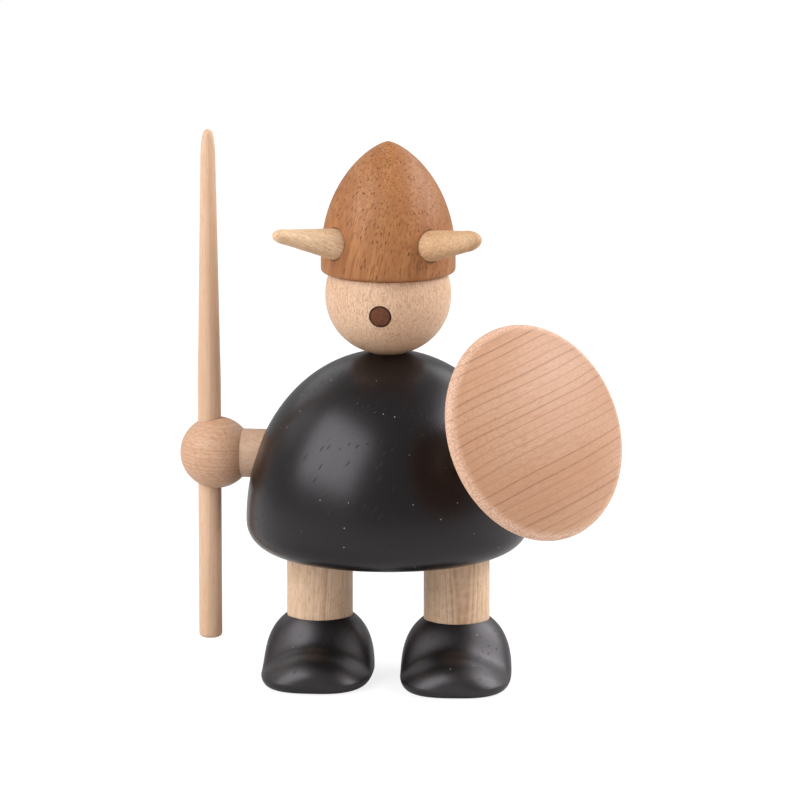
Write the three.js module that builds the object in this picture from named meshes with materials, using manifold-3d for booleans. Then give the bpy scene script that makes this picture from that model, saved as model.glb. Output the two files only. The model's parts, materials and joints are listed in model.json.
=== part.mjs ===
// A wooden viking figurine, turned on a lathe in pieces and joined with dowels.
// Millimetres, +Z up. The figure looks along -Y, so its right hand is at -X.

import * as THREE from 'three';
import { mergeVertices } from 'three/addons/utils/BufferGeometryUtils.js';
import Module from 'manifold-3d';

// Boots and legs, with the angles by which the toes turn out, in degrees
const BOOT_WIDTH = 20.5;
const BOOT_WIDEST_LEAD = 3;
const BOOT_HEIGHT = 11.5;
const BOOT_HEEL_REACH = 9;
const BOOT_INSTEP_REACH = 9.6;
const BOOT_TOE_REACH = 17.6;
const BOOT_TOE_HEIGHT = 7.4;
const BOOT_TOE_LEAD = 8.5;
const BOOT_TOE_ROOT = 12;
const BOOT_CREASE = 1.1;
const RIGHT_BOOT_TURN_OUT = -2;
const LEFT_BOOT_TURN_OUT = 5;
const BOOT_SOLE_EDGE = 1.6;
const BOOT_SOCKET_DEPTH = 8;
const LEG_DIAMETER = 12.2;
const LEG_SPACING = 25.5;
const LEG_SHOWING = 12.65;
const LEG_SOCKET_DEPTH = 9;

// Tunic
const TUNIC_HEIGHT = 36.8;
const TUNIC_DIAMETER = 52.3;
const TUNIC_HEM_RISE = 5.7;
const TUNIC_HEM_INSET = 6.8;
const NECK_SEAT_DIAMETER = 7.2;

// Head, nose and helmet
const HEAD_HEIGHT = 14.6;
const HEAD_DIAMETER = 23.1;
const HEAD_WIDEST_HEIGHT = 10.6;
const NOSE_DIAMETER = 3.8;
const NOSE_HEIGHT = 8.3;
const NOSE_DEPTH = 6;
const NECK_DOWEL_DIAMETER = 6;
const NECK_DOWEL_IN_TUNIC = 8;
const NECK_DOWEL_IN_HEAD = 5;
const HELMET_HEIGHT = 24.05;
const HELMET_DIAMETER = 24.7;
const HELMET_BAND_HEIGHT = 2.1;
const HELMET_RIM_EDGE = 0.7;
const HELMET_DOWEL_DIAMETER = 6;
const HELMET_DOWEL_IN_HEAD = 5;
const HELMET_DOWEL_IN_HELMET = 7;

// Horns, with angles from the front and from the level, in degrees
const HORN_DIAMETER = 5.7;
const HORN_TIP_DIAMETER = 3;
const HORN_SHOWING = 13.4;
const HORN_SOCKET_DEPTH = 5;
const HORN_HEIGHT = 5.9;
const HORN_TURN = 48;
const HORN_TILT = 12;

// Arms and hands, with heights above the hem of the tunic
const ARM_DIAMETER = 9;
const ARM_SOCKET_DEPTH = 9;
const ARM_TENON_DIAMETER = 5;
const ARM_TENON_LENGTH = 2.8;
const HAND_DIAMETER = 13.4;
const SPEAR_ARM_HEIGHT = 17.25;
const SPEAR_ARM_TURN = 90;
const SPEAR_ARM_SHOWING = 2.5;
const SHIELD_ARM_HEIGHT = 21.1;
const SHIELD_ARM_TURN = 47;
const SHIELD_ARM_TILT = 21;
const SHIELD_ARM_DIAMETER = 5;
const SHIELD_ARM_SEAT_DIAMETER = 6.4;
const SHIELD_ARM_SHOWING = 5.8;

// Spear
const SPEAR_LENGTH = 95.1;
const SPEAR_DIAMETER = 4.3;
const SPEAR_NECK_DIAMETER = 2.8;
const SPEAR_TIP_DIAMETER = 0.9;
const SPEAR_POINT_LENGTH = 6;
const SPEAR_STRAIGHT_LENGTH = 48;
const SPEAR_FOOT_EDGE = 0.8;
const SPEAR_FOOT_HEIGHT = 6.4;
const SPEAR_OFFSET_IN_HAND = 1.2;

// Shield, with the angle above the level where its round rim runs into the dome
const SHIELD_DIAMETER = 39.4;
const SHIELD_EDGE = 2.4;
const SHIELD_RIM_TURN = 60;
const SHIELD_DOME_HEIGHT = 4.8;
const SHIELD_SEAT_DIAMETER = 6;
const SHIELD_DOWEL_DIAMETER = 4;
const SHIELD_DOWEL_IN_HAND = 4;
const SHIELD_DOWEL_IN_SHIELD = 4;

// Clearances: round a dowel in its hole, past a dowel's end, and between faces that meet
const FIT_GAP = 0.15;
const END_GAP = 0.3;
const SEAT_GAP = 0.2;

// Small chamfer on the ends of dowels
const DOWEL_CHAMFER = 0.5;

// How full the rounded forms are: 2 is an ellipse, more is squarer and less is more pointed
const SOLE_FULLNESS = 2.7;
const ANKLE_FULLNESS = 2.4;
const TOE_FULLNESS = 2;
const TOE_SIDE_FULLNESS = 1.1;
const DOME_FULLNESS = 2.04;
const HEM_FULLNESS = 2.15;
const HEAD_FULLNESS = 2.07;
const HELMET_SHOULDER = 2.2;
const HELMET_POINT = 0.7;

// Facets round a piece and along a curve
const BODY_FACETS = 40;
const LIMB_FACETS = 24;
const DOWEL_FACETS = 16;
const LONG_CURVE_STEPS = 10;
const BOOT_CURVE_STEPS = 16;
const SHORT_CURVE_STEPS = 6;
const HALVINGS = 30;

// Points closer than this are one point
const SAME_POINT = 1e-4;

const wasm = await Module();
wasm.setup();

// Woods and stains
const WOODS = {
  beech: { color: 0xd8b089, roughness: 0.55 },
  maple: { color: 0xe0bd98, roughness: 0.5 },
  redwood: { color: 0xa9703f, roughness: 0.5 },
  walnut: { color: 0x5b3526, roughness: 0.6 },
  black: { color: 0x241f20, roughness: 0.42 },
};

function piece(name, wood, geometry) {
  const finish = new THREE.MeshStandardMaterial({ ...WOODS[wood], metalness: 0 });
  const mesh = new THREE.Mesh(geometry, finish);
  mesh.name = name;
  return mesh;
}

// Solid modelling helpers

function toSolid(geometry) {
  const bare = geometry.clone();
  bare.deleteAttribute('normal');
  bare.deleteAttribute('uv');
  const merged = mergeVertices(bare, SAME_POINT);
  const index = merged.index.array;
  const faces = [];
  for (let i = 0; i < index.length; i += 3) {
    const [a, b, c] = index.slice(i, i + 3);
    const hasArea = a !== b && b !== c && c !== a;
    if (hasArea) {
      faces.push(a, b, c);
    }
  }
  const vertProperties = Float32Array.from(merged.attributes.position.array);
  const triVerts = Uint32Array.from(faces);
  return new wasm.Manifold(new wasm.Mesh({ numProp: 3, vertProperties, triVerts }));
}

function toGeometry(solid) {
  const mesh = solid.getMesh();
  const geometry = new THREE.BufferGeometry();
  const positions = new THREE.BufferAttribute(Float32Array.from(mesh.vertProperties), 3);
  geometry.setAttribute('position', positions);
  geometry.setIndex(new THREE.BufferAttribute(Uint32Array.from(mesh.triVerts), 1));
  geometry.computeVertexNormals();
  return geometry;
}

function cut(geometry, cutters) {
  let solid = toSolid(geometry);
  for (const cutter of cutters) {
    solid = solid.subtract(toSolid(cutter));
  }
  return toGeometry(solid);
}

// A turned piece: its profile is a list of [radius, height] from the axis below to the axis above.
function turned(profile, facets) {
  const points = profile.map(([radius, height]) => new THREE.Vector2(radius, height));
  return new THREE.LatheGeometry(points, facets).rotateX(Math.PI / 2);
}

// A plain dowel along +Z with chamfered ends.
function dowel(diameter, from, to) {
  const radius = diameter / 2;
  const face = radius - DOWEL_CHAMFER;
  const profile = [
    [0, from],
    [face, from],
    [radius, from + DOWEL_CHAMFER],
    [radius, to - DOWEL_CHAMFER],
    [face, to],
    [0, to],
  ];
  return turned(profile, DOWEL_FACETS);
}

// A drill along +Z, wide enough for a dowel of this diameter to fit.
function drill(diameter, from, to, facets) {
  const radius = diameter / 2 + FIT_GAP;
  const profile = [
    [0, from],
    [radius, from],
    [radius, to],
    [0, to],
  ];
  return turned(profile, facets);
}

// Points of a quarter turn between two angles on an ellipse, with the given fullness.
function arc(radius, height, fromDegrees, toDegrees, steps, fullness = 2) {
  const points = [];
  for (let i = 0; i <= steps; i += 1) {
    const angle = THREE.MathUtils.degToRad(fromDegrees + ((toDegrees - fromDegrees) * i) / steps);
    const across = Math.cos(angle);
    const up = Math.sin(angle);
    const shrink = (Math.abs(across) ** fullness + Math.abs(up) ** fullness) ** (-1 / fullness);
    points.push([radius * across * shrink, height * up * shrink]);
  }
  return points;
}

function moved(points, across, up) {
  return points.map(([radius, height]) => [radius + across, height + up]);
}

// A group whose +Z looks outward at a turn from the front, towards the figure's left, and a tilt up.
function facing(turnDegrees, tiltDegrees) {
  const turn = THREE.MathUtils.degToRad(turnDegrees);
  const tilt = THREE.MathUtils.degToRad(tiltDegrees);
  const level = new THREE.Vector3(Math.sin(turn), -Math.cos(turn), 0);
  const outward = level.clone().multiplyScalar(Math.cos(tilt));
  outward.z = Math.sin(tilt);
  const upward = level.clone().multiplyScalar(-Math.sin(tilt));
  upward.z = Math.cos(tilt);
  const sideways = new THREE.Vector3().crossVectors(outward, upward);
  const group = new THREE.Group();
  group.quaternion.setFromRotationMatrix(new THREE.Matrix4().makeBasis(upward, sideways, outward));
  return group;
}

// The same geometry as it lies in the group's parent.
function inParent(group, geometry) {
  group.updateMatrix();
  return geometry.clone().applyMatrix4(group.matrix);
}

// Levels up the figure
const tunicLevel = BOOT_HEIGHT + LEG_SHOWING;
const neckLevel = tunicLevel + TUNIC_HEIGHT;
const tunicRadius = TUNIC_DIAMETER / 2;
const neckSeatRadius = NECK_SEAT_DIAMETER / 2;

// The dome of the tunic is a full quarter ellipse that the neck seat cuts flat.
const domeRise = TUNIC_HEIGHT - TUNIC_HEM_RISE;
const neckSeatShare = (neckSeatRadius / tunicRadius) ** DOME_FULLNESS;
const domeCrown = domeRise / (1 - neckSeatShare) ** (1 / DOME_FULLNESS);

function tunicRadiusAt(height) {
  const share = (height - TUNIC_HEM_RISE) / domeCrown;
  return tunicRadius * (1 - share ** DOME_FULLNESS) ** (1 / DOME_FULLNESS);
}

// Legs and boots

const FEET = [
  { name: 'right', side: -1, turnOut: RIGHT_BOOT_TURN_OUT },
  { name: 'left', side: 1, turnOut: LEFT_BOOT_TURN_OUT },
];

function footPlace(foot) {
  const group = new THREE.Group();
  group.position.x = (foot.side * LEG_SPACING) / 2;
  group.rotation.z = THREE.MathUtils.degToRad(foot.side * foot.turnOut);
  return group;
}

// A rounded line over a length: 1 at its middle and 0 at its two ends.
function bow(place, middle, front, back, fullness) {
  const share = Math.abs(place - middle) / (place > middle ? front : back);
  return (1 - Math.min(share, 1) ** fullness) ** (1 / fullness);
}

// Half the boot's width at a distance ahead of the leg: an oval, seen from above.
function bootHalfWidth(ahead) {
  const front = BOOT_TOE_REACH - BOOT_WIDEST_LEAD;
  const back = BOOT_HEEL_REACH + BOOT_WIDEST_LEAD;
  return (BOOT_WIDTH / 2) * bow(ahead, BOOT_WIDEST_LEAD, front, back, SOLE_FULLNESS);
}

// The boot's top line: a round ankle that runs softly into a lower toe, seen from the side.
function bootRise(ahead) {
  const legShare = (LEG_DIAMETER / BOOT_WIDTH) ** ANKLE_FULLNESS;
  const crown = (BOOT_HEIGHT - BOOT_SOLE_EDGE) / (1 - legShare) ** (1 / ANKLE_FULLNESS);
  const ankle = crown * bow(ahead, 0, BOOT_INSTEP_REACH, BOOT_HEEL_REACH, ANKLE_FULLNESS);
  const toeLength = BOOT_TOE_REACH - BOOT_TOE_LEAD;
  const toeCrown = BOOT_TOE_HEIGHT - BOOT_SOLE_EDGE;
  const toe = toeCrown * bow(ahead, BOOT_TOE_LEAD, toeLength, BOOT_TOE_ROOT, TOE_FULLNESS);
  const apart = Math.abs(ankle - toe) / BOOT_CREASE;
  return Math.max(ankle, toe) + BOOT_CREASE * Math.log1p(Math.exp(-apart));
}

// How far a point is from the boot's middle, where 1 is on its skin. Its sections grow rounder to the toe.
function bootLevel(point) {
  const ahead = -point.y;
  const halfWidth = bootHalfWidth(ahead);
  if (halfWidth === 0) {
    return Infinity;
  }
  const toToe = THREE.MathUtils.clamp(ahead / BOOT_TOE_LEAD, 0, 1);
  const acrossFullness = THREE.MathUtils.lerp(ANKLE_FULLNESS, TOE_FULLNESS, toToe);
  const upFullness = THREE.MathUtils.lerp(ANKLE_FULLNESS, TOE_SIDE_FULLNESS, toToe);
  const across = Math.abs(point.x) / halfWidth;
  const up = Math.abs(point.z) / bootRise(ahead);
  return across ** acrossFullness + up ** upFullness;
}

// Distance from the boot's middle to its skin in one direction, found by halving.
function bootReach(direction) {
  let inside = 0;
  let outside = 2 * (BOOT_HEIGHT + BOOT_TOE_REACH);
  for (let i = 0; i < HALVINGS; i += 1) {
    const half = (inside + outside) / 2;
    if (bootLevel(direction.clone().multiplyScalar(half)) < 1) {
      inside = half;
    } else {
      outside = half;
    }
  }
  return inside;
}

// A closed skin over rings of points that are counted round +Z, from the sole up to the crown.
function skin(rings, sole, crown) {
  const count = rings[0].length;
  const points = [...rings.flat(), sole, crown];
  const soleIndex = points.length - 2;
  const crownIndex = points.length - 1;
  const top = (rings.length - 1) * count;
  const faces = [];
  for (let i = 0; i < count; i += 1) {
    const next = (i + 1) % count;
    faces.push(soleIndex, next, i);
    for (let row = 0; row < top; row += count) {
      faces.push(row + i, row + next, row + count + next);
      faces.push(row + i, row + count + next, row + count + i);
    }
    faces.push(top + i, top + next, crownIndex);
  }
  const geometry = new THREE.BufferGeometry().setFromPoints(points);
  geometry.setIndex(faces);
  return geometry;
}

function bootGeometry() {
  const rings = [];
  const ring = (angle, place) => {
    const points = [];
    for (let i = 0; i < BODY_FACETS; i += 1) {
      const turn = (2 * Math.PI * i) / BODY_FACETS;
      const level = Math.cos(angle);
      const direction = new THREE.Vector3(level * Math.cos(turn), level * Math.sin(turn), Math.sin(angle));
      points.push(place(direction));
    }
    rings.push(points);
  };
  const edgeSteps = SHORT_CURVE_STEPS / 2;
  for (let i = 0; i < edgeSteps; i += 1) {
    const bend = (Math.PI / 2) * (1 - i / edgeSteps);
    const inset = BOOT_SOLE_EDGE * (1 - Math.cos(bend));
    const drop = BOOT_SOLE_EDGE * Math.sin(bend);
    ring(0, (direction) => {
      const point = direction.clone().multiplyScalar(bootReach(direction) - inset);
      return point.setZ(BOOT_SOLE_EDGE - drop);
    });
  }
  for (let i = 0; i < BOOT_CURVE_STEPS; i += 1) {
    ring((Math.PI / 2) * (i / BOOT_CURVE_STEPS), (direction) => {
      const point = direction.clone().multiplyScalar(bootReach(direction));
      return point.setZ(point.z + BOOT_SOLE_EDGE);
    });
  }
  const up = new THREE.Vector3(0, 0, 1);
  const crown = new THREE.Vector3(0, 0, BOOT_SOLE_EDGE + bootReach(up));
  const form = skin(rings, new THREE.Vector3(), crown);
  const socket = drill(LEG_DIAMETER, BOOT_HEIGHT - BOOT_SOCKET_DEPTH, 2 * BOOT_HEIGHT, LIMB_FACETS);
  return cut(form, [socket]);
}

function legGeometry() {
  const radius = LEG_DIAMETER / 2;
  const from = BOOT_HEIGHT - BOOT_SOCKET_DEPTH + END_GAP;
  const to = tunicLevel + LEG_SOCKET_DEPTH - END_GAP;
  const profile = [
    [0, from],
    [radius, from],
    [radius, to],
    [0, to],
  ];
  return turned(profile, LIMB_FACETS);
}

function legs() {
  const group = new THREE.Group();
  for (const foot of FEET) {
    const place = footPlace(foot);
    place.add(piece(`boot_${foot.name}`, 'black', bootGeometry()));
    place.add(piece(`leg_${foot.name}`, 'beech', legGeometry()));
    group.add(place);
  }
  return group;
}

// Arms

function armPlace(turn, tilt, height) {
  const group = facing(turn, tilt);
  const angle = THREE.MathUtils.degToRad(turn);
  const reach = tunicRadiusAt(height);
  group.position.set(reach * Math.sin(angle), -reach * Math.cos(angle), tunicLevel + height);
  return group;
}

const spearArm = armPlace(-SPEAR_ARM_TURN, 0, SPEAR_ARM_HEIGHT);
const shieldArm = armPlace(SHIELD_ARM_TURN, SHIELD_ARM_TILT, SHIELD_ARM_HEIGHT);

// The arm with the spear has a shoulder that meets the hand, and a tenon in it.
function spearArmGeometry() {
  const radius = ARM_DIAMETER / 2;
  const tenon = ARM_TENON_DIAMETER / 2;
  const inner = END_GAP - ARM_SOCKET_DEPTH;
  const showing = SPEAR_ARM_SHOWING;
  const profile = [
    [0, inner],
    [radius - DOWEL_CHAMFER, inner],
    [radius, inner + DOWEL_CHAMFER],
    [radius, showing],
    [tenon, showing],
    [tenon, showing + ARM_TENON_LENGTH],
    [0, showing + ARM_TENON_LENGTH],
  ];
  return turned(profile, LIMB_FACETS);
}

// The arm behind the shield is a plain dowel.
function shieldArmGeometry() {
  return dowel(SHIELD_ARM_DIAMETER, END_GAP - ARM_SOCKET_DEPTH, SHIELD_ARM_SHOWING + ARM_TENON_LENGTH);
}

// A hand is a ball, cut flat where the arm meets it and bored for the arm's end.
const handRadius = HAND_DIAMETER / 2;

// How far a flat of this diameter lies from the middle of the hand.
function handSeat(flatDiameter) {
  return Math.sqrt(handRadius ** 2 - (flatDiameter / 2) ** 2);
}

function handProfile(flatDiameter, boreDiameter, lastAngle) {
  const bore = boreDiameter / 2 + FIT_GAP;
  const seat = handSeat(flatDiameter);
  const boreEnd = ARM_TENON_LENGTH + END_GAP - seat;
  const seatAngle = -THREE.MathUtils.radToDeg(Math.asin(seat / handRadius));
  return [
    [0, boreEnd],
    [bore, boreEnd],
    [bore, -seat],
    ...arc(handRadius, handRadius, seatAngle, lastAngle, LONG_CURVE_STEPS),
  ];
}

const spearHandCentre = SPEAR_ARM_SHOWING + SEAT_GAP + handSeat(ARM_DIAMETER);
const shieldHandCentre = SHIELD_ARM_SHOWING + SEAT_GAP + handSeat(SHIELD_ARM_SEAT_DIAMETER);

function spearHand() {
  const ball = turned(handProfile(ARM_DIAMETER, ARM_TENON_DIAMETER, 90), LIMB_FACETS);
  const bore = drill(SPEAR_DIAMETER, -HAND_DIAMETER, HAND_DIAMETER, DOWEL_FACETS);
  bore.rotateY(Math.PI / 2).translate(0, 0, SPEAR_OFFSET_IN_HAND);
  const hand = piece('hand_right', 'beech', cut(ball, [bore]));
  hand.position.z = spearHandCentre;
  return hand;
}

function spear() {
  const radius = SPEAR_DIAMETER / 2;
  const neck = SPEAR_NECK_DIAMETER / 2;
  const tip = SPEAR_TIP_DIAMETER / 2;
  const pointLevel = SPEAR_LENGTH - SPEAR_POINT_LENGTH;
  const foot = moved(
    arc(SPEAR_FOOT_EDGE, SPEAR_FOOT_EDGE, -90, 0, SHORT_CURVE_STEPS / 2),
    radius - SPEAR_FOOT_EDGE,
    SPEAR_FOOT_EDGE,
  );
  const point = moved(arc(neck - tip, SPEAR_POINT_LENGTH, 0, 90, SHORT_CURVE_STEPS), tip, pointLevel);
  const profile = [[0, 0], ...foot, [radius, SPEAR_STRAIGHT_LENGTH], ...point, [0, SPEAR_LENGTH]];
  const rod = piece('spear', 'beech', turned(profile, DOWEL_FACETS));
  rod.position.x = SPEAR_FOOT_HEIGHT - tunicLevel - SPEAR_ARM_HEIGHT;
  rod.position.z = spearHandCentre + SPEAR_OFFSET_IN_HAND;
  rod.rotation.y = Math.PI / 2;
  return rod;
}

// The ball behind the shield is cut flat where the shield's back seats on it.
const shieldSeat = handSeat(SHIELD_SEAT_DIAMETER);
const shieldBack = shieldHandCentre + shieldSeat + SEAT_GAP;

function shieldHand() {
  const bore = SHIELD_DOWEL_DIAMETER / 2 + FIT_GAP;
  const boreEnd = shieldSeat - SHIELD_DOWEL_IN_HAND;
  const seatAngle = THREE.MathUtils.radToDeg(Math.asin(shieldSeat / handRadius));
  const ball = handProfile(SHIELD_ARM_SEAT_DIAMETER, SHIELD_ARM_DIAMETER, seatAngle);
  const profile = [...ball, [bore, shieldSeat], [bore, boreEnd], [0, boreEnd]];
  const hand = piece('hand_left', 'beech', turned(profile, LIMB_FACETS));
  hand.position.z = shieldHandCentre;
  return hand;
}

function shieldDowel() {
  const from = shieldBack - SEAT_GAP - SHIELD_DOWEL_IN_HAND + END_GAP;
  const to = shieldBack + SHIELD_DOWEL_IN_SHIELD - END_GAP;
  return piece('shield_dowel', 'beech', dowel(SHIELD_DOWEL_DIAMETER, from, to));
}

function shield() {
  const bore = SHIELD_DOWEL_DIAMETER / 2 + FIT_GAP;
  const edge = SHIELD_EDGE / 2;
  const rimRadius = SHIELD_DIAMETER / 2 - edge;
  const rim = moved(arc(edge, edge, -90, SHIELD_RIM_TURN, SHORT_CURVE_STEPS), rimRadius, edge);
  const [domeRadius, domeLevel] = rim.at(-1);
  const rise = SHIELD_EDGE + SHIELD_DOME_HEIGHT - domeLevel;
  const ball = (domeRadius ** 2 + rise ** 2) / (2 * rise);
  const rimAngle = THREE.MathUtils.radToDeg(Math.acos(domeRadius / ball));
  const dome = moved(arc(ball, ball, rimAngle, 90, LONG_CURVE_STEPS), 0, domeLevel + rise - ball);
  const profile = [
    [0, SHIELD_DOWEL_IN_SHIELD],
    [bore, SHIELD_DOWEL_IN_SHIELD],
    [bore, 0],
    ...rim,
    ...dome.slice(1),
  ];
  const disc = piece('shield', 'beech', turned(profile, BODY_FACETS));
  disc.position.z = shieldBack;
  return disc;
}

spearArm.add(piece('arm_right', 'beech', spearArmGeometry()), spearHand(), spear());
shieldArm.add(piece('arm_left', 'beech', shieldArmGeometry()));
shieldArm.add(shieldHand(), shieldDowel(), shield());

// Tunic

function tunic() {
  const bore = NECK_DOWEL_DIAMETER / 2 + FIT_GAP;
  const boreEnd = TUNIC_HEIGHT - NECK_DOWEL_IN_TUNIC;
  const hem = moved(
    arc(TUNIC_HEM_INSET, TUNIC_HEM_RISE, -90, 0, SHORT_CURVE_STEPS, HEM_FULLNESS),
    tunicRadius - TUNIC_HEM_INSET,
    TUNIC_HEM_RISE,
  );
  const seatAngle = THREE.MathUtils.radToDeg(Math.atan2(domeRise / domeCrown, neckSeatRadius / tunicRadius));
  const quarter = arc(tunicRadius, domeCrown, 0, seatAngle, LONG_CURVE_STEPS, DOME_FULLNESS);
  const dome = moved(quarter, 0, TUNIC_HEM_RISE);
  const profile = [
    [0, 0],
    ...hem,
    ...dome.slice(1),
    [bore, TUNIC_HEIGHT],
    [bore, boreEnd],
    [0, boreEnd],
  ];
  const form = turned(profile, BODY_FACETS).translate(0, 0, tunicLevel);
  const armDrill = (diameter) => drill(diameter, -ARM_SOCKET_DEPTH, ARM_DIAMETER, LIMB_FACETS);
  const legDrill = drill(LEG_DIAMETER, tunicLevel - LEG_DIAMETER, tunicLevel + LEG_SOCKET_DEPTH, LIMB_FACETS);
  const cutters = [
    inParent(spearArm, armDrill(ARM_DIAMETER)),
    inParent(shieldArm, armDrill(SHIELD_ARM_DIAMETER)),
  ];
  for (const foot of FEET) {
    cutters.push(inParent(footPlace(foot), legDrill));
  }
  return piece('tunic', 'black', cut(form, cutters));
}

function neckDowel() {
  const from = neckLevel - NECK_DOWEL_IN_TUNIC + END_GAP;
  const to = neckLevel + SEAT_GAP + NECK_DOWEL_IN_HEAD - END_GAP;
  return piece('neck_dowel', 'beech', dowel(NECK_DOWEL_DIAMETER, from, to));
}

// Head and helmet, in a group that stands on the neck seat

// The head is a ball, cut flat below by the neck seat and above by the helmet.
const headRadius = HEAD_DIAMETER / 2;
const headSeatShare = (neckSeatRadius / headRadius) ** HEAD_FULLNESS;
const headBallHeight = HEAD_WIDEST_HEIGHT / (1 - headSeatShare) ** (1 / HEAD_FULLNESS);

function headRadiusAt(height) {
  const share = Math.abs(height - HEAD_WIDEST_HEIGHT) / headBallHeight;
  return headRadius * (1 - share ** HEAD_FULLNESS) ** (1 / HEAD_FULLNESS);
}

function headForm() {
  const neckBore = NECK_DOWEL_DIAMETER / 2 + FIT_GAP;
  const helmetBore = HELMET_DOWEL_DIAMETER / 2 + FIT_GAP;
  const helmetBoreEnd = HEAD_HEIGHT - HELMET_DOWEL_IN_HEAD;
  const cheek = [];
  for (let i = 0; i <= LONG_CURVE_STEPS; i += 1) {
    const height = HEAD_HEIGHT * (1 - Math.cos((Math.PI / 2) * (i / LONG_CURVE_STEPS)));
    cheek.push([headRadiusAt(height), height]);
  }
  const profile = [
    [0, NECK_DOWEL_IN_HEAD],
    [neckBore, NECK_DOWEL_IN_HEAD],
    [neckBore, 0],
    ...cheek,
    [helmetBore, HEAD_HEIGHT],
    [helmetBore, helmetBoreEnd],
    [0, helmetBoreEnd],
  ];
  return turned(profile, BODY_FACETS);
}

function nosePlace() {
  const group = facing(0, 0);
  group.position.set(0, -headRadiusAt(NOSE_HEIGHT), NOSE_HEIGHT);
  return group;
}

function headPieces() {
  const form = headForm();
  const place = nosePlace();
  const noseDrill = inParent(place, drill(NOSE_DIAMETER, -NOSE_DEPTH, NOSE_DEPTH, DOWEL_FACETS));
  const plug = inParent(place, dowel(NOSE_DIAMETER, END_GAP - NOSE_DEPTH, NOSE_DEPTH));
  const nose = toGeometry(toSolid(plug).intersect(toSolid(form)));
  return [piece('head', 'maple', cut(form, [noseDrill])), piece('nose_plug', 'walnut', nose)];
}

// The helmet rises from a short straight band to a point.
const helmetRadius = HELMET_DIAMETER / 2;

function helmetRadiusAt(height) {
  const share = Math.max(0, (height - HELMET_BAND_HEIGHT) / (HELMET_HEIGHT - HELMET_BAND_HEIGHT));
  return helmetRadius * (1 - share ** HELMET_SHOULDER) ** HELMET_POINT;
}

function hornPlace(side) {
  const group = facing(side * HORN_TURN, HORN_TILT);
  const angle = THREE.MathUtils.degToRad(side * HORN_TURN);
  const reach = helmetRadiusAt(HORN_HEIGHT);
  group.position.set(reach * Math.sin(angle), -reach * Math.cos(angle), HORN_HEIGHT);
  return group;
}

function helmetGeometry() {
  const bore = HELMET_DOWEL_DIAMETER / 2 + FIT_GAP;
  const rim = moved(
    arc(HELMET_RIM_EDGE, HELMET_RIM_EDGE, -90, 0, SHORT_CURVE_STEPS / 2),
    helmetRadius - HELMET_RIM_EDGE,
    HELMET_RIM_EDGE,
  );
  const ogive = [];
  for (let i = 0; i <= LONG_CURVE_STEPS; i += 1) {
    const rise = Math.sin((Math.PI / 2) * (i / LONG_CURVE_STEPS));
    const height = HELMET_BAND_HEIGHT + (HELMET_HEIGHT - HELMET_BAND_HEIGHT) * rise;
    ogive.push([helmetRadiusAt(height), height]);
  }
  const profile = [
    [0, HELMET_DOWEL_IN_HELMET],
    [bore, HELMET_DOWEL_IN_HELMET],
    [bore, 0],
    ...rim,
    ...ogive,
  ];
  const hornDrill = drill(HORN_DIAMETER, -HORN_SOCKET_DEPTH, HORN_DIAMETER, DOWEL_FACETS);
  return cut(turned(profile, BODY_FACETS), [
    inParent(hornPlace(-1), hornDrill),
    inParent(hornPlace(1), hornDrill),
  ]);
}

function hornGeometry() {
  const base = HORN_DIAMETER / 2;
  const tip = HORN_TIP_DIAMETER / 2;
  const inner = END_GAP - HORN_SOCKET_DEPTH;
  const end = moved(arc(tip, tip, 0, 90, SHORT_CURVE_STEPS), 0, HORN_SHOWING - tip);
  const profile = [
    [0, inner],
    [base - DOWEL_CHAMFER, inner],
    [base, inner + DOWEL_CHAMFER],
    [base, 0],
    ...end,
  ];
  return turned(profile, DOWEL_FACETS);
}

function helmetPieces() {
  const group = new THREE.Group();
  group.position.z = HEAD_HEIGHT + SEAT_GAP;
  group.add(piece('helmet', 'redwood', helmetGeometry()));
  for (const [name, side] of [['right', -1], ['left', 1]]) {
    const place = hornPlace(side);
    place.add(piece(`horn_${name}`, 'maple', hornGeometry()));
    group.add(place);
  }
  const from = END_GAP - SEAT_GAP - HELMET_DOWEL_IN_HEAD;
  const to = HELMET_DOWEL_IN_HELMET - END_GAP;
  group.add(piece('helmet_dowel', 'beech', dowel(HELMET_DOWEL_DIAMETER, from, to)));
  return group;
}

const headGroup = new THREE.Group();
headGroup.position.z = neckLevel + SEAT_GAP;
headGroup.add(...headPieces(), helmetPieces());

// The whole figure, with the origin on the floor at the middle of its outline
const figure = new THREE.Group();
figure.add(legs(), tunic(), neckDowel(), spearArm, shieldArm, headGroup);

const middle = new THREE.Box3().setFromObject(figure, true).getCenter(new THREE.Vector3());
figure.position.set(-middle.x, -middle.y, 0);

const part = new THREE.Group();
part.add(figure);

export default part;
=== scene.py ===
import json
import math

import bpy
import numpy as np
from bpy.props import FloatProperty, FloatVectorProperty, IntProperty, PointerProperty
from mathutils import Matrix, Vector


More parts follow.
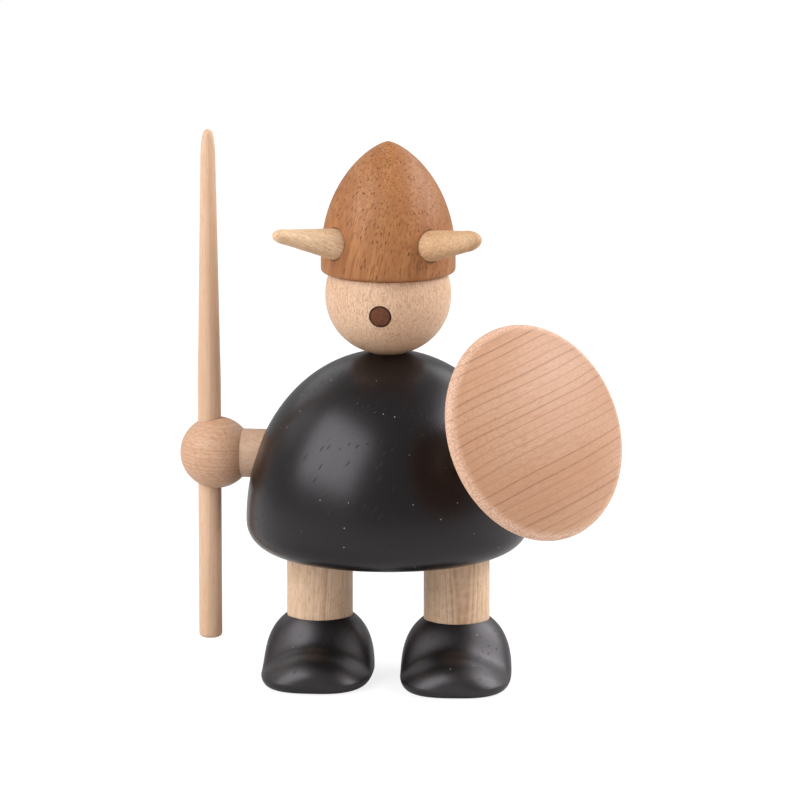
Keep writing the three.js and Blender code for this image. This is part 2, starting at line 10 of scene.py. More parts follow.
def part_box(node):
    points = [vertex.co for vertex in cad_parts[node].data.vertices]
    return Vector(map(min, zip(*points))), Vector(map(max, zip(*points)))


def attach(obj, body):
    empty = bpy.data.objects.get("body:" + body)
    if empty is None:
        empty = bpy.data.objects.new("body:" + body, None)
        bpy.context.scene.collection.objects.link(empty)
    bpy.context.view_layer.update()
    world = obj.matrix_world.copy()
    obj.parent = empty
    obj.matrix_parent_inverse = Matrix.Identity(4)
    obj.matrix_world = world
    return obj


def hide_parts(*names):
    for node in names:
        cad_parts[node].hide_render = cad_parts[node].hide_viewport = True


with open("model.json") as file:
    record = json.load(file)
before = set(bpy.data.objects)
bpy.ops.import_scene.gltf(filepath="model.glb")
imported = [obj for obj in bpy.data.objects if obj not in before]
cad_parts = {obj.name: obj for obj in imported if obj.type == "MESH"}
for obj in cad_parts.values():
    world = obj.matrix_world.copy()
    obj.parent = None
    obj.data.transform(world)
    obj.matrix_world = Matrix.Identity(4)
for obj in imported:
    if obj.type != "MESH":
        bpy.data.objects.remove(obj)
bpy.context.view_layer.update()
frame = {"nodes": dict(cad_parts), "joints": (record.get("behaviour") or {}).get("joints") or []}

bl_info = {
    "name": "Turned Wooden Viking",
    "version": (1, 0, 0),
    "blender": (4, 5, 0),
    "location": "View3D > Sidebar > Figurine",
    "description": "Turns the pieces of a wooden viking figurine and finishes them in wood and stain",
    "category": "Object",
}

MM = 0.001

# Places and sizes that the frame gives
TUNIC_LOW, TUNIC_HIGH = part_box("tunic")
HEAD_LOW, HEAD_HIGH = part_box("head")
HELMET_LOW, HELMET_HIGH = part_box("helmet")
SPEAR_LOW, SPEAR_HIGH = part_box("spear")
NOSE_LOW, NOSE_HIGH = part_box("nose_plug")
FIGURE_AXIS = (TUNIC_LOW + TUNIC_HIGH) / 2
JOINTS = {joint["name"]: joint for joint in frame["joints"]}
SIDES = {"right": -1, "left": 1}

# Steps round and along the forms
DRILL_STEPS = 72
SPEAR_STEPS = 72
PEG_STEPS = 96
HAND_STEPS = 128
SANDED_STEPS = 6
RIM_STEPS = 10
TIP_STEPS = 24
BALL_STEPS = 72
SOLE_STEPS = 12
HALVINGS = 40

# Edges: bends between which a profile counts as an edge, and how far the edge colour spreads from it: rubbed
# wear, and on the shield's rim a painted highlight
GENTLE_BEND = 1 / (2.5 * MM)
TIGHT_BEND = 1 / (0.5 * MM)
WEAR_AND_HIGHLIGHT_REACH = 1.1 * MM
SOLE_WEAR = 0.3
SHARP_ANGLE = math.radians(38)
ARM_EDGE_PART = 3
TINY = 1e-7

# Boots: how soon the ankle's rounding levels off to the sides, and a level that is outside for sure
ROUNDING_LIMIT = 4
OUTSIDE = 2.0

# Where horns and legs lie in their plank, how light and warm each horn is, and where a leg's rings face
HORN_CUTS = {"right": 0.0, "left": 0.013}
HORN_TINTS = {"right": (1.05, 1.0), "left": (0.77, 1.1)}
LEG_CUTS = {"right": 0.0, "left": 0.021}
LEG_RINGS = {"right": (1, 0.5, 0), "left": (1, 0.08, 0)}
SHIELD_LINES = math.radians(13.7)

# Lamps: a power, the share of it, the lamp's size, its turn from the front and its rise
LAMPS = {
    "left_lamp": ("left_power", 1.0, (1.0, 0.75), -51, 35),
    "right_lamp": ("right_power", 1.0, (0.9, 0.6), 100, 34),
    "left_back_lamp": ("back_power", 0.6, (1.0, 0.4), -128, 31),
    "right_back_lamp": ("back_power", 1.0, (0.8, 0.35), 142, 31),
}
LAMP_DISTANCE = 1.0
SENSOR_WIDTH = 36.0
NEAREST = 0.01
OVAL = "2 is an ellipse and more is squarer"


def width_of(node, axis):
    """How wide a node is along X, Y or Z, counted 0, 1 or 2."""
    low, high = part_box(node)
    return high[axis] - low[axis]


def length(words, value):
    """A size in metres."""
    return FloatProperty(description=words, default=value, min=0.0, precision=5, unit="LENGTH")


def fullness(words, value):
    """A plain number that shapes a curve."""
    return FloatProperty(description=words, default=value, min=0.01, precision=3)


def angle(words, degrees):
    """An angle, written in degrees and kept in radians."""
    return FloatProperty(description=words, default=math.radians(degrees), subtype="ANGLE")


def number(words, value, unit="NONE"):
    """A plain value, or a power."""
    return FloatProperty(description=words, default=value, unit=unit)


def steps(words, value):
    """How many steps a curve has."""
    return IntProperty(description=words, default=value, min=8)


def colour(words, value):
    """A linear colour."""
    return FloatVectorProperty(description=words, default=value, min=0.0, max=1.0, size=3, subtype="COLOR")


class FigurineSizes(bpy.types.PropertyGroup):
    """Sizes of the turned pieces, at rest on the frame."""

    fit_gap: length("Room round a peg in its hole", 0.00015)
    hem_rise: length("Height of the tunic's rounded hem", 0.0057)
    hem_inset: length("How far the hem turns in", 0.0068)
    hem_fullness: fullness(OVAL, 2.15)
    dome_fullness: fullness(OVAL, 2.04)
    neck_seat: length("Diameter of the flat between head and tunic", 0.0072)
    head_widest: length("Height above the neck where the head is widest", 0.0106)
    head_fullness: fullness(OVAL, 2.07)
    helmet_band: length("Height of the helmet's straight band", 0.0021)
    helmet_rim: length("Radius of the helmet's rounded rim", 0.0007)
    helmet_shoulder: fullness("How high the helmet stays wide", 2.2)
    helmet_point: fullness("How pointed the helmet is", 0.7)
    horn_diameter: length("Diameter where a horn leaves the helmet", 0.0057)
    horn_right_tip: length("Diameter where the right horn's round end begins", 0.0028)
    horn_right_end: length("Length of the right horn's round end", 0.0029)
    horn_left_tip: length("Diameter where the left horn's round end begins", 0.0039)
    horn_left_end: length("Length of the left horn's round end", 0.0040)
    horn_length: length("Length of a horn outside the helmet", 0.0134)
    horn_depth: length("Length of a horn inside the helmet", 0.0047)
    horn_height: length("Height of a horn above the helmet's rim", 0.0062)
    horn_turn: angle("Turn of a horn from the front", 48)
    horn_tilt: angle("Tilt of a horn above the level", 12)
    shield_arm_seat: length("Diameter of the flat between left arm and hand", 0.0064)
    spear_neck: length("Diameter where the spear's point begins", 0.0028)
    spear_tip: length("Diameter of the spear's blunt tip", 0.0009)
    spear_point: length("Length of the spear's point", 0.006)
    spear_straight: length("Length of the spear before its taper", 0.048)
    spear_foot: length("Radius of the spear's rounded foot", 0.0008)
    shield_edge: length("Thickness of the shield's round rim", 0.0024)
    shield_rim: angle("Angle where the rim runs into the dome", 60)
    boot_width: length("Width of a boot at its widest", 0.0205)
    boot_widest_lead: length("How far the widest place lies ahead of the leg", 0.003)
    boot_heel_reach: length("How far the heel reaches behind the leg", 0.009)
    boot_toe_reach: length("How far the toe reaches ahead of the leg", 0.0176)
    boot_height: length("Height of a boot beside the leg", 0.0115)
    boot_instep_reach: length("From the leg's middle to half the ankle's height", 0.009)
    instep_steepness: fullness("How steeply the ankle falls to the toe", 5.0)
    boot_front_round: fullness("From above, small is straight and 1 is an ellipse", 0.85)
    boot_toe_height: length("Height of the toe", 0.0065)
    boot_toe_lead: length("How far the toe's highest place lies ahead of the leg", 0.0115)
    boot_toe_root: length("How far the toe runs back into the ankle", 0.012)
    boot_crease: length("How softly the ankle runs into the toe", 0.0013)
    boot_sole_edge: length("Radius of the sole's rounded edge", 0.0016)
    boot_right_turn: angle("How far the right toe turns out", -2)
    boot_left_turn: angle("How far the left toe turns out", 5)
    plan_fullness: fullness(f"The boot from above: {OVAL}", 2.8)
    ankle_fullness: fullness(OVAL, 2.4)
    toe_fullness: fullness(f"The toe from the side: {OVAL}", 2.1)
    toe_side_fullness: fullness("Its sections: 1 is a parabola and more is squarer", 1.15)
    soft_edge: length("Radius of the sanded edges", 0.0003)
    round_steps: steps("Steps round a large piece", 160)
    curve_steps: steps("Steps along a long curve", 48)


class FigurineColours(bpy.types.PropertyGroup):
    """Linear colours of the woods and the stain."""

    head: colour("Pale fine-grained wood of the head", (0.84, 0.575, 0.40))
    horn: colour("Pale wood of the horns", (0.82, 0.58, 0.37))
    helmet: colour("Red-brown open-pored wood of the helmet", (0.51, 0.220, 0.079))
    hand: colour("Tan wood of the hands", (0.72, 0.45, 0.30))
    arm: colour("Pale tan wood of the arms", (0.63, 0.425, 0.30))
    spear: colour("Pale wood of the spear", (0.77, 0.515, 0.35))
    shield: colour("Peach-coloured wood of the shield", (0.615, 0.354, 0.226))
    leg: colour("Tan wood of the legs", (0.82, 0.575, 0.395))
    nose: colour("Dark end grain of the nose", (0.175, 0.062, 0.030))
    stain: colour("Black stain of the tunic and boots", (0.0030, 0.0020, 0.0022))


class FigurineStage(bpy.types.PropertyGroup):
    """Floor, lamps and camera."""

    floor_colour: colour("Colour of the floor", (0.72, 0.715, 0.71))
    floor_size: length("Length of the floor's side", 6.0)
    floor_glow: number("White that the camera sees in the floor", 0.8)
    floor_matt: number("Share of its light that the camera sees", 0.4)
    sky_front: number("Even light from the camera's side", 0.43)
    sky_back: number("Even light from behind the figure", 0.4)
    left_power: number("Power of the left lamp", 8.9, "POWER")
    right_power: number("Power of the right lamp", 8.4, "POWER")
    back_power: number("Power of the two lamps behind", 1.5, "POWER")
    camera_turn: angle("Turn of the camera from the front", 7.5)
    camera_rise: angle("Angle of the camera above the level", 11)
    camera_distance: length("Distance from the camera to the figure", 1.0)
    target_height: length("Height that the camera looks at", 0.05)
    lens: number("Focal length in millimetres", 244.8)
    shift_across: number("Share of the frame's width", 0.01475)
    shift_up: number("Share of the frame's width", 0.01325)


# Places: matrices from a piece's own frame, with +Z along its axis, to the shared frame

def upright(x, y, z):
    """A place that stands straight up."""
    return Matrix.Translation((x, y, z))


def facing(point, outward):
    """A place whose +Z looks outward from a point and whose +X leans up."""
    outward = Vector(outward).normalized()
    sideways = outward.cross(Vector((0, 0, 1))).normalized()
    upward = sideways.cross(outward)
    axes = Matrix((upward, outward.cross(upward), outward)).transposed().to_4x4()
    return Matrix.Translation(point) @ axes


def direction(turn, tilt):
    """A unit vector at a turn from the front, towards the figure's left, and a tilt up."""
    return Vector((math.sin(turn) * math.cos(tilt), -math.cos(turn) * math.cos(tilt), math.sin(tilt)))


def span(node, place):
    """Lowest and highest point of a node along a place's axis, and its largest radius round it."""
    inward = place.inverted()
    points = [inward @ vertex.co for vertex in frame["nodes"][node].data.vertices]
    low = min(point.z for point in points)
    high = max(point.z for point in points)
    radius = max(math.hypot(point.x, point.y) for point in points)
    return low, high, radius


SPEAR_ARM = facing(JOINTS["spear_arm_turn"]["pos_m"], JOINTS["spear_arm_turn"]["axis"])
SHIELD_ARM = facing(JOINTS["shield_turn"]["pos_m"], JOINTS["shield_turn"]["axis"])
TUNIC_PLACE = upright(FIGURE_AXIS.x, FIGURE_AXIS.y, TUNIC_LOW.z)
HEAD_PLACE = upright(FIGURE_AXIS.x, FIGURE_AXIS.y, HEAD_LOW.z)
HELMET_PLACE = upright(FIGURE_AXIS.x, FIGURE_AXIS.y, HELMET_LOW.z)
SPEAR_PLACE = upright((SPEAR_LOW.x + SPEAR_HIGH.x) / 2, (SPEAR_LOW.y + SPEAR_HIGH.y) / 2, SPEAR_LOW.z)


def leg_place(side):
    """Where a leg's axis meets the floor."""
    low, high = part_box(f"leg_{side}")
    return upright((low.x + high.x) / 2, (low.y + high.y) / 2, 0)


# Shapes

def arc(radius, height, start, end, steps, power=2.0):
    """Points of an ellipse between two angles in degrees, with the given fullness."""
    points = []
    for step in range(steps + 1):
        turn = math.radians(start + (end - start) * step / steps)
        across = math.cos(turn)
        up = math.sin(turn)
        shrink = (abs(across) ** power + abs(up) ** power) ** (-1 / power)
        points.append((radius * across * shrink, height * up * shrink))
    return points


def moved(points, across, up):
    return [(radius + across, height + up) for radius, height in points]


def edge_weights(profile):
    """How sharply a profile turns outward at each point or close by, from 0 to 1."""
    weights = [0.0]
    for before, here, after in zip(profile, profile[1:], profile[2:]):
        came = Vector(here) - Vector(before)
        goes = Vector(after) - Vector(here)
        turn = math.atan2(came.x * goes.y - came.y * goes.x, came.dot(goes))
        bend = 2 * turn / max(came.length + goes.length, TINY)
        share = (bend - GENTLE_BEND) / (TIGHT_BEND - GENTLE_BEND)
        weights.append(min(max(share, 0.0), 1.0))
    weights.append(0.0)
    spots = np.array(profile)
    apart = np.linalg.norm(spots[:, None] - spots[None], axis=2)
    return (np.maximum(1 - apart / WEAR_AND_HIGHLIGHT_REACH, 0) * np.array(weights)).max(axis=1).tolist()


def skin(name, rings, weights, place):
    """A closed mesh over rings of points, each counted round +Z, from the first ring to the last."""
    points = []
    edges = []
    starts = []
    for ring, weight in zip(rings, weights):
        starts.append(len(points))
        points.extend(place @ Vector(point) for point in ring)
        edges.extend([weight] * len(ring))
    faces = []
    for row in range(len(rings) - 1):
        low, high = starts[row], starts[row + 1]
        low_count, high_count = len(rings[row]), len(rings[row + 1])
        for step in range(max(low_count, high_count)):
            after = step + 1
            corners = [low + step % low_count, low + after % low_count]
            corners += [high + after % high_count, high + step % high_count]
            faces.append(tuple(dict.fromkeys(corners)))
    mesh = bpy.data.meshes.new(name)
    mesh.from_pydata(points, [], faces)
    mesh.attributes.new("edge", "FLOAT", "POINT").data.foreach_set("value", edges)
    return mesh


def turned(name, profile, steps, place):
    """A piece from a lathe: its profile runs from the axis below to the axis above."""
    rings = []
    for radius, height in profile:
        if radius < TINY:
            rings.append([(0, 0, height)])
            continue
        turns = [2 * math.pi * step / steps for step in range(steps)]
        rings.append([(radius * math.cos(turn), radius * math.sin(turn), height) for turn in turns])
    return skin(name, rings, edge_weights(profile), place)


def peg(radius, low, high, edge):
    """The profile of a straight peg with sanded ends."""
    foot = moved(arc(edge, edge, -90, 0, SANDED_STEPS), radius - edge, low + edge)
    head = moved(arc(edge, edge, 0, 90, SANDED_STEPS), radius - edge, high - edge)
    return [(0, low), *foot, *head, (0, high)]


def drill(diameter, low, high, place):
    """A loose cylinder that cuts a hole for a peg of this diameter."""
    radius = diameter / 2 + bpy.context.scene.figurine_sizes.fit_gap
    profile = [(0, low), (radius, low), (radius, high), (0, high)]
    return link(turned("drill", profile, DRILL_STEPS, place))


def link(data):
    """Puts a mesh, a lamp or a camera in the scene, as an object of the same name."""
    made = bpy.data.objects.new(data.name, data)
    bpy.context.scene.collection.objects.link(made)
    return made


def carve(piece, cutter, operation="DIFFERENCE"):
    """Cuts a piece by a cutter, for good, and takes the cutter away."""
    modifier = piece.modifiers.new("carve", "BOOLEAN")
    modifier.operation = operation
    modifier.solver = "EXACT"
    modifier.object = cutter
    bpy.context.view_layer.update()
    shown = piece.evaluated_get(bpy.context.evaluated_depsgraph_get())
    whole = piece.data
    piece.data = bpy.data.meshes.new_from_object(shown)
    piece.modifiers.clear()
    bpy.data.meshes.remove(whole)
    tool = cutter.data
    bpy.data.objects.remove(cutter)
    bpy.data.meshes.remove(tool)


def drill_for(piece, node, place):
    """Drills a piece for a node that lies along a place's axis."""
    low, high, radius = span(node, place)
    gap = bpy.context.scene.figurine_sizes.fit_gap
    carve(piece, drill(2 * radius, low - gap, high + gap, place))


def set_in_place(piece, name, material, body, node):
    """Finishes a piece: smooth, in its material, on its body, in the place of its node."""
    piece.name = name
    piece.data.name = name
    piece.data.materials.clear()
    piece.data.materials.append(material)
    piece.data.polygons.foreach_set("material_index", [0] * len(piece.data.polygons))
    piece.data.polygons.foreach_set("use_smooth", [True] * len(piece.data.polygons))
    piece.data.set_sharp_from_angle(angle=SHARP_ANGLE)
    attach(piece, body)
    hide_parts(node)


# Shader nodes

def feed(tree, socket, value):
    """Links a socket to another one, or sets its value."""
    if isinstance(value, bpy.types.NodeSocket):
        tree.links.new(value, socket)
    elif socket.type == "RGBA":
        socket.default_value = (*value, 1.0)[:4]
    else:
        socket.default_value = value


def add(tree, kind, inputs=None, **settings):
    """A node with its settings, its inputs linked or set."""
    node = tree.nodes.new(kind)
    for name, value in settings.items():
        setattr(node, name, value)
    for name, value in (inputs or {}).items():
        feed(tree, node.inputs[name], value)
    return node


def maths(tree, operation, *values):
    """The result of a Math node."""
    return add(tree, "ShaderNodeMath", dict(enumerate(values)), operation=operation).outputs[0]


def vectors(tree, operation, *values):
    """The vector that a Vector Math node gives."""
    return add(tree, "ShaderNodeVectorMath", dict(enumerate(values)), operation=operation).outputs[0]


def measure(tree, operation, *values):
    """The number that a Vector Math node gives."""
    return add(tree, "ShaderNodeVectorMath", dict(enumerate(values)), operation=operation).outputs["Value"]


def scaled(tree, vector, factor):
    """A vector times a value."""
    inputs = {0: vector, "Scale": factor}
    return add(tree, "ShaderNodeVectorMath", inputs, operation="SCALE").outputs[0]


def ramp(tree, value, low, high, to_low=0.0, to_high=1.0):
    """A value brought smoothly from one range to another."""
    inputs = {"Value": value, "From Min": low, "From Max": high, "To Min": to_low, "To Max": to_high}
    return add(tree, "ShaderNodeMapRange", inputs, interpolation_type="SMOOTHSTEP").outputs["Result"]


def noise(tree, vector, scale=1.0, detail=2.0, roughness=0.5):
    """A noise texture's outputs."""
    inputs = {"Vector": vector, "Scale": scale, "Detail": detail, "Roughness": roughness}
    return add(tree, "ShaderNodeTexNoise", inputs).outputs


def wobble(tree, vector, scale=1.0):
    """A vector of noise about zero."""
    return vectors(tree, "SUBTRACT", noise(tree, vector, scale)["Color"], (0.5, 0.5, 0.5))


def stretched(tree, vector, width, stretch):
    """Coordinates in which a unit is a width across the grain and width times stretch along it."""
    across = maths(tree, "DIVIDE", 1.0, width)
    along = maths(tree, "DIVIDE", across, stretch)
    scale = add(tree, "ShaderNodeCombineXYZ", {"X": across, "Y": across, "Z": along}).outputs[0]
    return vectors(tree, "MULTIPLY", vector, scale)


def patchy(tree, given, detail, least):
    """Noise in patches of a group's Patch Size, from a least value to 1."""
    patch_range = (0.35, 0.65)
    place = scaled(tree, given["Vector"], maths(tree, "DIVIDE", 1.0, given["Patch Size"]))
    return ramp(tree, noise(tree, place, detail=detail)["Fac"], *patch_range, least, 1.0)


def new_group(name, inputs, outputs):
    """An empty shader group with its sockets, its input node and its output node."""
    group = bpy.data.node_groups.new(name, "ShaderNodeTree")
    for label, value in inputs.items():
        kind = "NodeSocketVector" if value is None else "NodeSocketFloat"
        made = group.interface.new_socket(label, in_out="INPUT", socket_type=kind)
        if value is not None:
            made.default_value = value
    for label in outputs:
        group.interface.new_socket(label, in_out="OUTPUT", socket_type="NodeSocketFloat")
    return group, group.nodes.new("NodeGroupInput").outputs, group.nodes.new("NodeGroupOutput").inputs


def grain_group():
    """Growth rings round a distant pith, fibres along Z and broad changes of tone, in millimetres."""
    inputs = {
        "Vector": None,
        "Ring Spacing": 1.6,
        "Ring Wander": 0.5,
        "Unevenness": 1.6,
        "Line Width": 0.3,
        "Line Breaks": 0.3,
        "Pith Distance": 60.0,
        "Fibre Width": 0.15,
        "Fibre Stretch": 20.0,
    }
    tree, given, made = new_group("Wood grain", inputs, ("Rings", "Fibres", "Tone"))
    drift_scale = (0.07, 0.07, 0.014)
    tone_scale = (0.09, 0.09, 0.03)
    fibre_range = (0.32, 0.68)
    tone_range = (0.3, 0.7)
    uneven_pace = 0.37
    faintest = 0.35
    peak = 0.9
    drift = wobble(tree, vectors(tree, "MULTIPLY", given["Vector"], drift_scale))
    bent = vectors(tree, "ADD", given["Vector"], scaled(tree, drift, given["Ring Wander"]))
    parts = add(tree, "ShaderNodeSeparateXYZ", {0: bent}).outputs
    from_pith = maths(tree, "ADD", parts["X"], given["Pith Distance"])
    flat = add(tree, "ShaderNodeCombineXYZ", {"X": from_pith, "Y": parts["Y"]}).outputs[0]
    count = maths(tree, "DIVIDE", measure(tree, "LENGTH", flat), given["Ring Spacing"])
    pace = {"W": maths(tree, "MULTIPLY", count, uneven_pace)}
    uneven = add(tree, "ShaderNodeTexNoise", pace, noise_dimensions="1D").outputs["Fac"]
    ring = maths(tree, "ADD", count, maths(tree, "MULTIPLY", uneven, given["Unevenness"]))
    share = maths(tree, "FRACT", ring)
    number_of = {"W": maths(tree, "FLOOR", ring)}
    chance = add(tree, "ShaderNodeTexWhiteNoise", number_of, noise_dimensions="1D").outputs["Value"]
    strength = maths(tree, "MULTIPLY_ADD", chance, 1 - faintest, faintest)
    rise = ramp(tree, share, maths(tree, "SUBTRACT", 1.0, given["Line Width"]), peak)
    line = maths(tree, "MULTIPLY", rise, ramp(tree, share, peak, 1.0, 1.0, 0.0))
    fine = stretched(tree, given["Vector"], given["Fibre Width"], given["Fibre Stretch"])
    fibres = ramp(tree, noise(tree, fine, detail=3.0, roughness=0.6)["Fac"], *fibre_range)
    tree.links.new(fibres, made["Fibres"])
    whole = maths(tree, "SUBTRACT", 1.0, maths(tree, "MULTIPLY", fibres, given["Line Breaks"]))
    tree.links.new(maths(tree, "MULTIPLY", maths(tree, "MULTIPLY", line, whole), strength), made["Rings"])
    broad = vectors(tree, "MULTIPLY", given["Vector"], tone_scale)
    tree.links.new(ramp(tree, noise(tree, broad)["Fac"], *tone_range), made["Tone"])
    return tree


def fleck_group():
    """Short flecks along Z, as rays show on the wood's face, in millimetres."""
    inputs = {"Vector": None, "Width": 0.3, "Stretch": 5.0, "Cover": 0.4, "Waver": 0.3}
    tree, given, made = new_group("Ray flecks", inputs, ("Flecks",))
    sway_scale = 0.8
    highest = 0.75
    cover_share = 0.5
    softness = 0.16
    sway = scaled(tree, wobble(tree, given["Vector"], sway_scale), given["Waver"])
    short = stretched(tree, vectors(tree, "ADD", given["Vector"], sway), given["Width"], given["Stretch"])
    value = noise(tree, short, detail=1.0)["Fac"]
    level = maths(tree, "SUBTRACT", highest, maths(tree, "MULTIPLY", given["Cover"], cover_share))
    tree.links.new(ramp(tree, value, level, maths(tree, "ADD", level, softness)), made["Flecks"])
    return tree


def pore_group():
    """Open pores as dark dashes along Z, thick in some places and thin in others, in millimetres."""
    inputs = {"Vector": None, "Spacing": 0.8, "Stretch": 5.0, "Size": 0.2, "Cover": 0.5, "Patch Size": 9.0}
    tree, given, made = new_group("Open pores", inputs, ("Pores",))
    core = 0.55
    thinnest = 0.25
    cells = stretched(tree, given["Vector"], given["Spacing"], given["Stretch"])
    dots = add(tree, "ShaderNodeTexVoronoi", {"Vector": cells, "Scale": 1.0, "Randomness": 1.0}).outputs
    inner = maths(tree, "MULTIPLY", given["Size"], core)
    mask = ramp(tree, dots["Distance"], inner, given["Size"], 1.0, 0.0)
    chance = add(tree, "ShaderNodeSeparateColor", {0: dots["Color"]}).outputs["Red"]
    limit = maths(tree, "MULTIPLY", given["Cover"], patchy(tree, given, detail=2.0, least=thinnest))
    kept = maths(tree, "LESS_THAN", chance, limit)
    tree.links.new(maths(tree, "MULTIPLY", mask, kept), made["Pores"])
    return tree


def wear_group():
    """Where handling has rubbed the edges, and where the shield's rim gets a painted highlight, from the
    weights that the pieces carry.
    """
    tree, given, made = new_group("Rubbed and highlighted edges", {"Vector": None, "Patch Size": 1.2}, ("Wear And Highlight",))
    thinnest = 0.2
    edge = add(tree, "ShaderNodeAttribute", attribute_name="edge", attribute_type="GEOMETRY").outputs["Fac"]
    uneven = patchy(tree, given, detail=3.0, least=thinnest)
    tree.links.new(maths(tree, "MULTIPLY", edge, uneven), made["Wear And Highlight"])
    return tree


def painted_gap_shade_group():
    """A ring round Z that grows to full at a radius, in millimetres: painted shade for the gap round a plug.
    """
    tree, given, made = new_group("Painted gap shade", {"Vector": None, "Radius": 2.0, "Width": 0.3}, ("Gap Shade",))
    radius = measure(tree, "LENGTH", vectors(tree, "MULTIPLY", given["Vector"], (1.0, 1.0, 0.0)))
    start = maths(tree, "SUBTRACT", given["Radius"], given["Width"])
    tree.links.new(ramp(tree, radius, start, given["Radius"]), made["Gap Shade"])
    return tree


GROUP_MAKERS = {
    "Wood grain": grain_group,
    "Ray flecks": fleck_group,
    "Open pores": pore_group,
    "Rubbed and highlighted edges": wear_group,
    "Painted gap shade": painted_gap_shade_group,
}


def group_node(tree, name, **inputs):
    """The outputs of a shared group in a material, built the first time that it is needed."""
    group = bpy.data.node_groups.get(name) or GROUP_MAKERS[name]()
    named = {label.replace("_", " ").title(): value for label, value in inputs.items()}
    return add(tree, "ShaderNodeGroup", named, node_tree=group).outputs


def mix(tree, low, high, share):
    """A colour between two others."""
    return add(tree, "ShaderNodeMix", {6: low, 7: high, 0: share}, data_type="RGBA").outputs[2]


def shade(colour_value, factor, warmth=1.0):
    """A colour made darker or lighter, and warmer where warmth is above 1."""
    red, green, blue = colour_value
    return (min(red * factor * warmth, 1.0), min(green * factor, 1.0), min(blue * factor / warmth, 1.0))


def new_tree(owner):
    """The emptied shader tree of a material or world."""
    owner.use_nodes = True
    owner.node_tree.nodes.clear()
    return owner.node_tree


DUST = (0.4, 0.39, 0.38)
DUST_SHARE = 0.8
BUMP_DEPTH = 0.1 * MM


def wood(name, place, base, **look):
    """A wood over a base colour: tone, fibres, rings, flecks, pores, an edge colour of rubbed wear that is a
    painted highlight on the shield's rim, dust, and a dark rim of painted shade for the gap round a plug.
    """
    want = {**PLAIN_WOOD, **look}
    base = tuple(base)
    material = bpy.data.materials.new(name)
    tree = new_tree(material)
    inputs = {
        "Vector": add(tree, "ShaderNodeTexCoord").outputs["Object"],
        "Location": (place @ Vector(want["offset"]).to_4d()).to_3d(),
        "Rotation": (place.to_3x3() @ want["grain"]).to_euler(),
        "Scale": (MM, MM, MM),
    }
    vector = add(tree, "ShaderNodeMapping", inputs, vector_type="TEXTURE").outputs[0]
    grain = group_node(tree, "Wood grain", vector=vector, **want["rings"])
    masks = {
        "tone": grain["Tone"],
        "fibre": grain["Fibres"],
        "ring": grain["Rings"],
        "fleck": group_node(tree, "Ray flecks", vector=vector, **want["flecks"])["Flecks"],
        "pore": group_node(tree, "Open pores", vector=vector, **want["pores"])["Pores"],
        "wear": group_node(tree, "Rubbed and highlighted edges", vector=vector, patch_size=want["wear_patch"])["Wear And Highlight"],
    }
    paint = base
    for layer, mask in masks.items():
        tint = shade(base, want[f"{layer}_shade"], want[f"{layer}_warmth"])
        paint = mix(tree, paint, tint, maths(tree, "MULTIPLY", mask, want[layer]))
    dust = group_node(tree, "Open pores", vector=vector, **want["dust"])["Pores"]
    paint = mix(tree, paint, DUST, maths(tree, "MULTIPLY", dust, DUST_SHARE))
    # A dark ring at a plug's edge: painted shade of the gap between plug and hole
    if want["rim"]:
        rim = group_node(tree, "Painted gap shade", vector=vector, **want["rim"])["Gap Shade"]
        paint = mix(tree, paint, shade(base, want["painted_gap_shade"]), rim)
    gloss = maths(tree, "MULTIPLY_ADD", masks["fibre"], want["gloss_spread"], want["gloss"])
    gloss = maths(tree, "MULTIPLY_ADD", masks["pore"], want["pore_gloss"], gloss)
    dents = maths(tree, "MULTIPLY", masks["fibre"], want["fibre_height"])
    dents = maths(tree, "MULTIPLY_ADD", masks["pore"], -want["pore_depth"], dents)
    dents = maths(tree, "MULTIPLY_ADD", masks["fleck"], -want["fleck_depth"], dents)
    bump = add(tree, "ShaderNodeBump", {"Strength": want["bump"], "Distance": BUMP_DEPTH, "Height": dents})
    surface = add(tree, "ShaderNodeBsdfPrincipled", {
        "Base Color": paint,
        "Roughness": gloss,
        "Normal": bump.outputs[0],
        "Specular IOR Level": want["specular"],
        "Specular Tint": want["specular_tint"],
    })
    add(tree, "ShaderNodeOutputMaterial", {"Surface": surface.outputs[0]})
    return material


def grain_along(axis, normal):
    """A turn that lays the grain along one direction of a piece's frame and the rings across another."""
    along = Vector(axis).normalized()
    across = (Vector(normal) - along * along.dot(Vector(normal))).normalized()
    return Matrix((across, along.cross(across), along)).transposed()


PLAIN_WOOD = {
    "grain": Matrix.Identity(3),
    "offset": (0, 0, 0),
    "rings": {},
    "flecks": {},
    "pores": {"cover": 0.0},
    "dust": {"cover": 0.0},
    # A ring of painted shade round a plug, none unless given
    "rim": {},
    "painted_gap_shade": 0.2,
    "tone": 0.5,
    "tone_shade": 0.86,
    "tone_warmth": 1.04,
    "fibre": 0.3,
    "fibre_shade": 0.7,
    "fibre_warmth": 1.05,
    "fibre_height": 0.12,
    "ring": 0.4,
    "ring_shade": 0.52,
    "ring_warmth": 1.25,
    "fleck": 0.2,
    "fleck_shade": 0.72,
    "fleck_warmth": 1.18,
    "fleck_depth": 0.1,
    "pore": 0.5,
    "pore_shade": 0.22,
    "pore_warmth": 1.25,
    "pore_depth": 1.0,
    "pore_gloss": 0.25,
    # Edge colour: rubbed wear, and on the shield's rim a painted highlight
    "wear": 0.3,
    "wear_shade": 1.12,
    "wear_warmth": 1.0,
    "wear_patch": 1.2,
    "gloss": 0.42,
    "gloss_spread": 0.1,
    "bump": 0.25,
    "specular": 0.4,
    "specular_tint": (1.0, 1.0, 1.0),
}


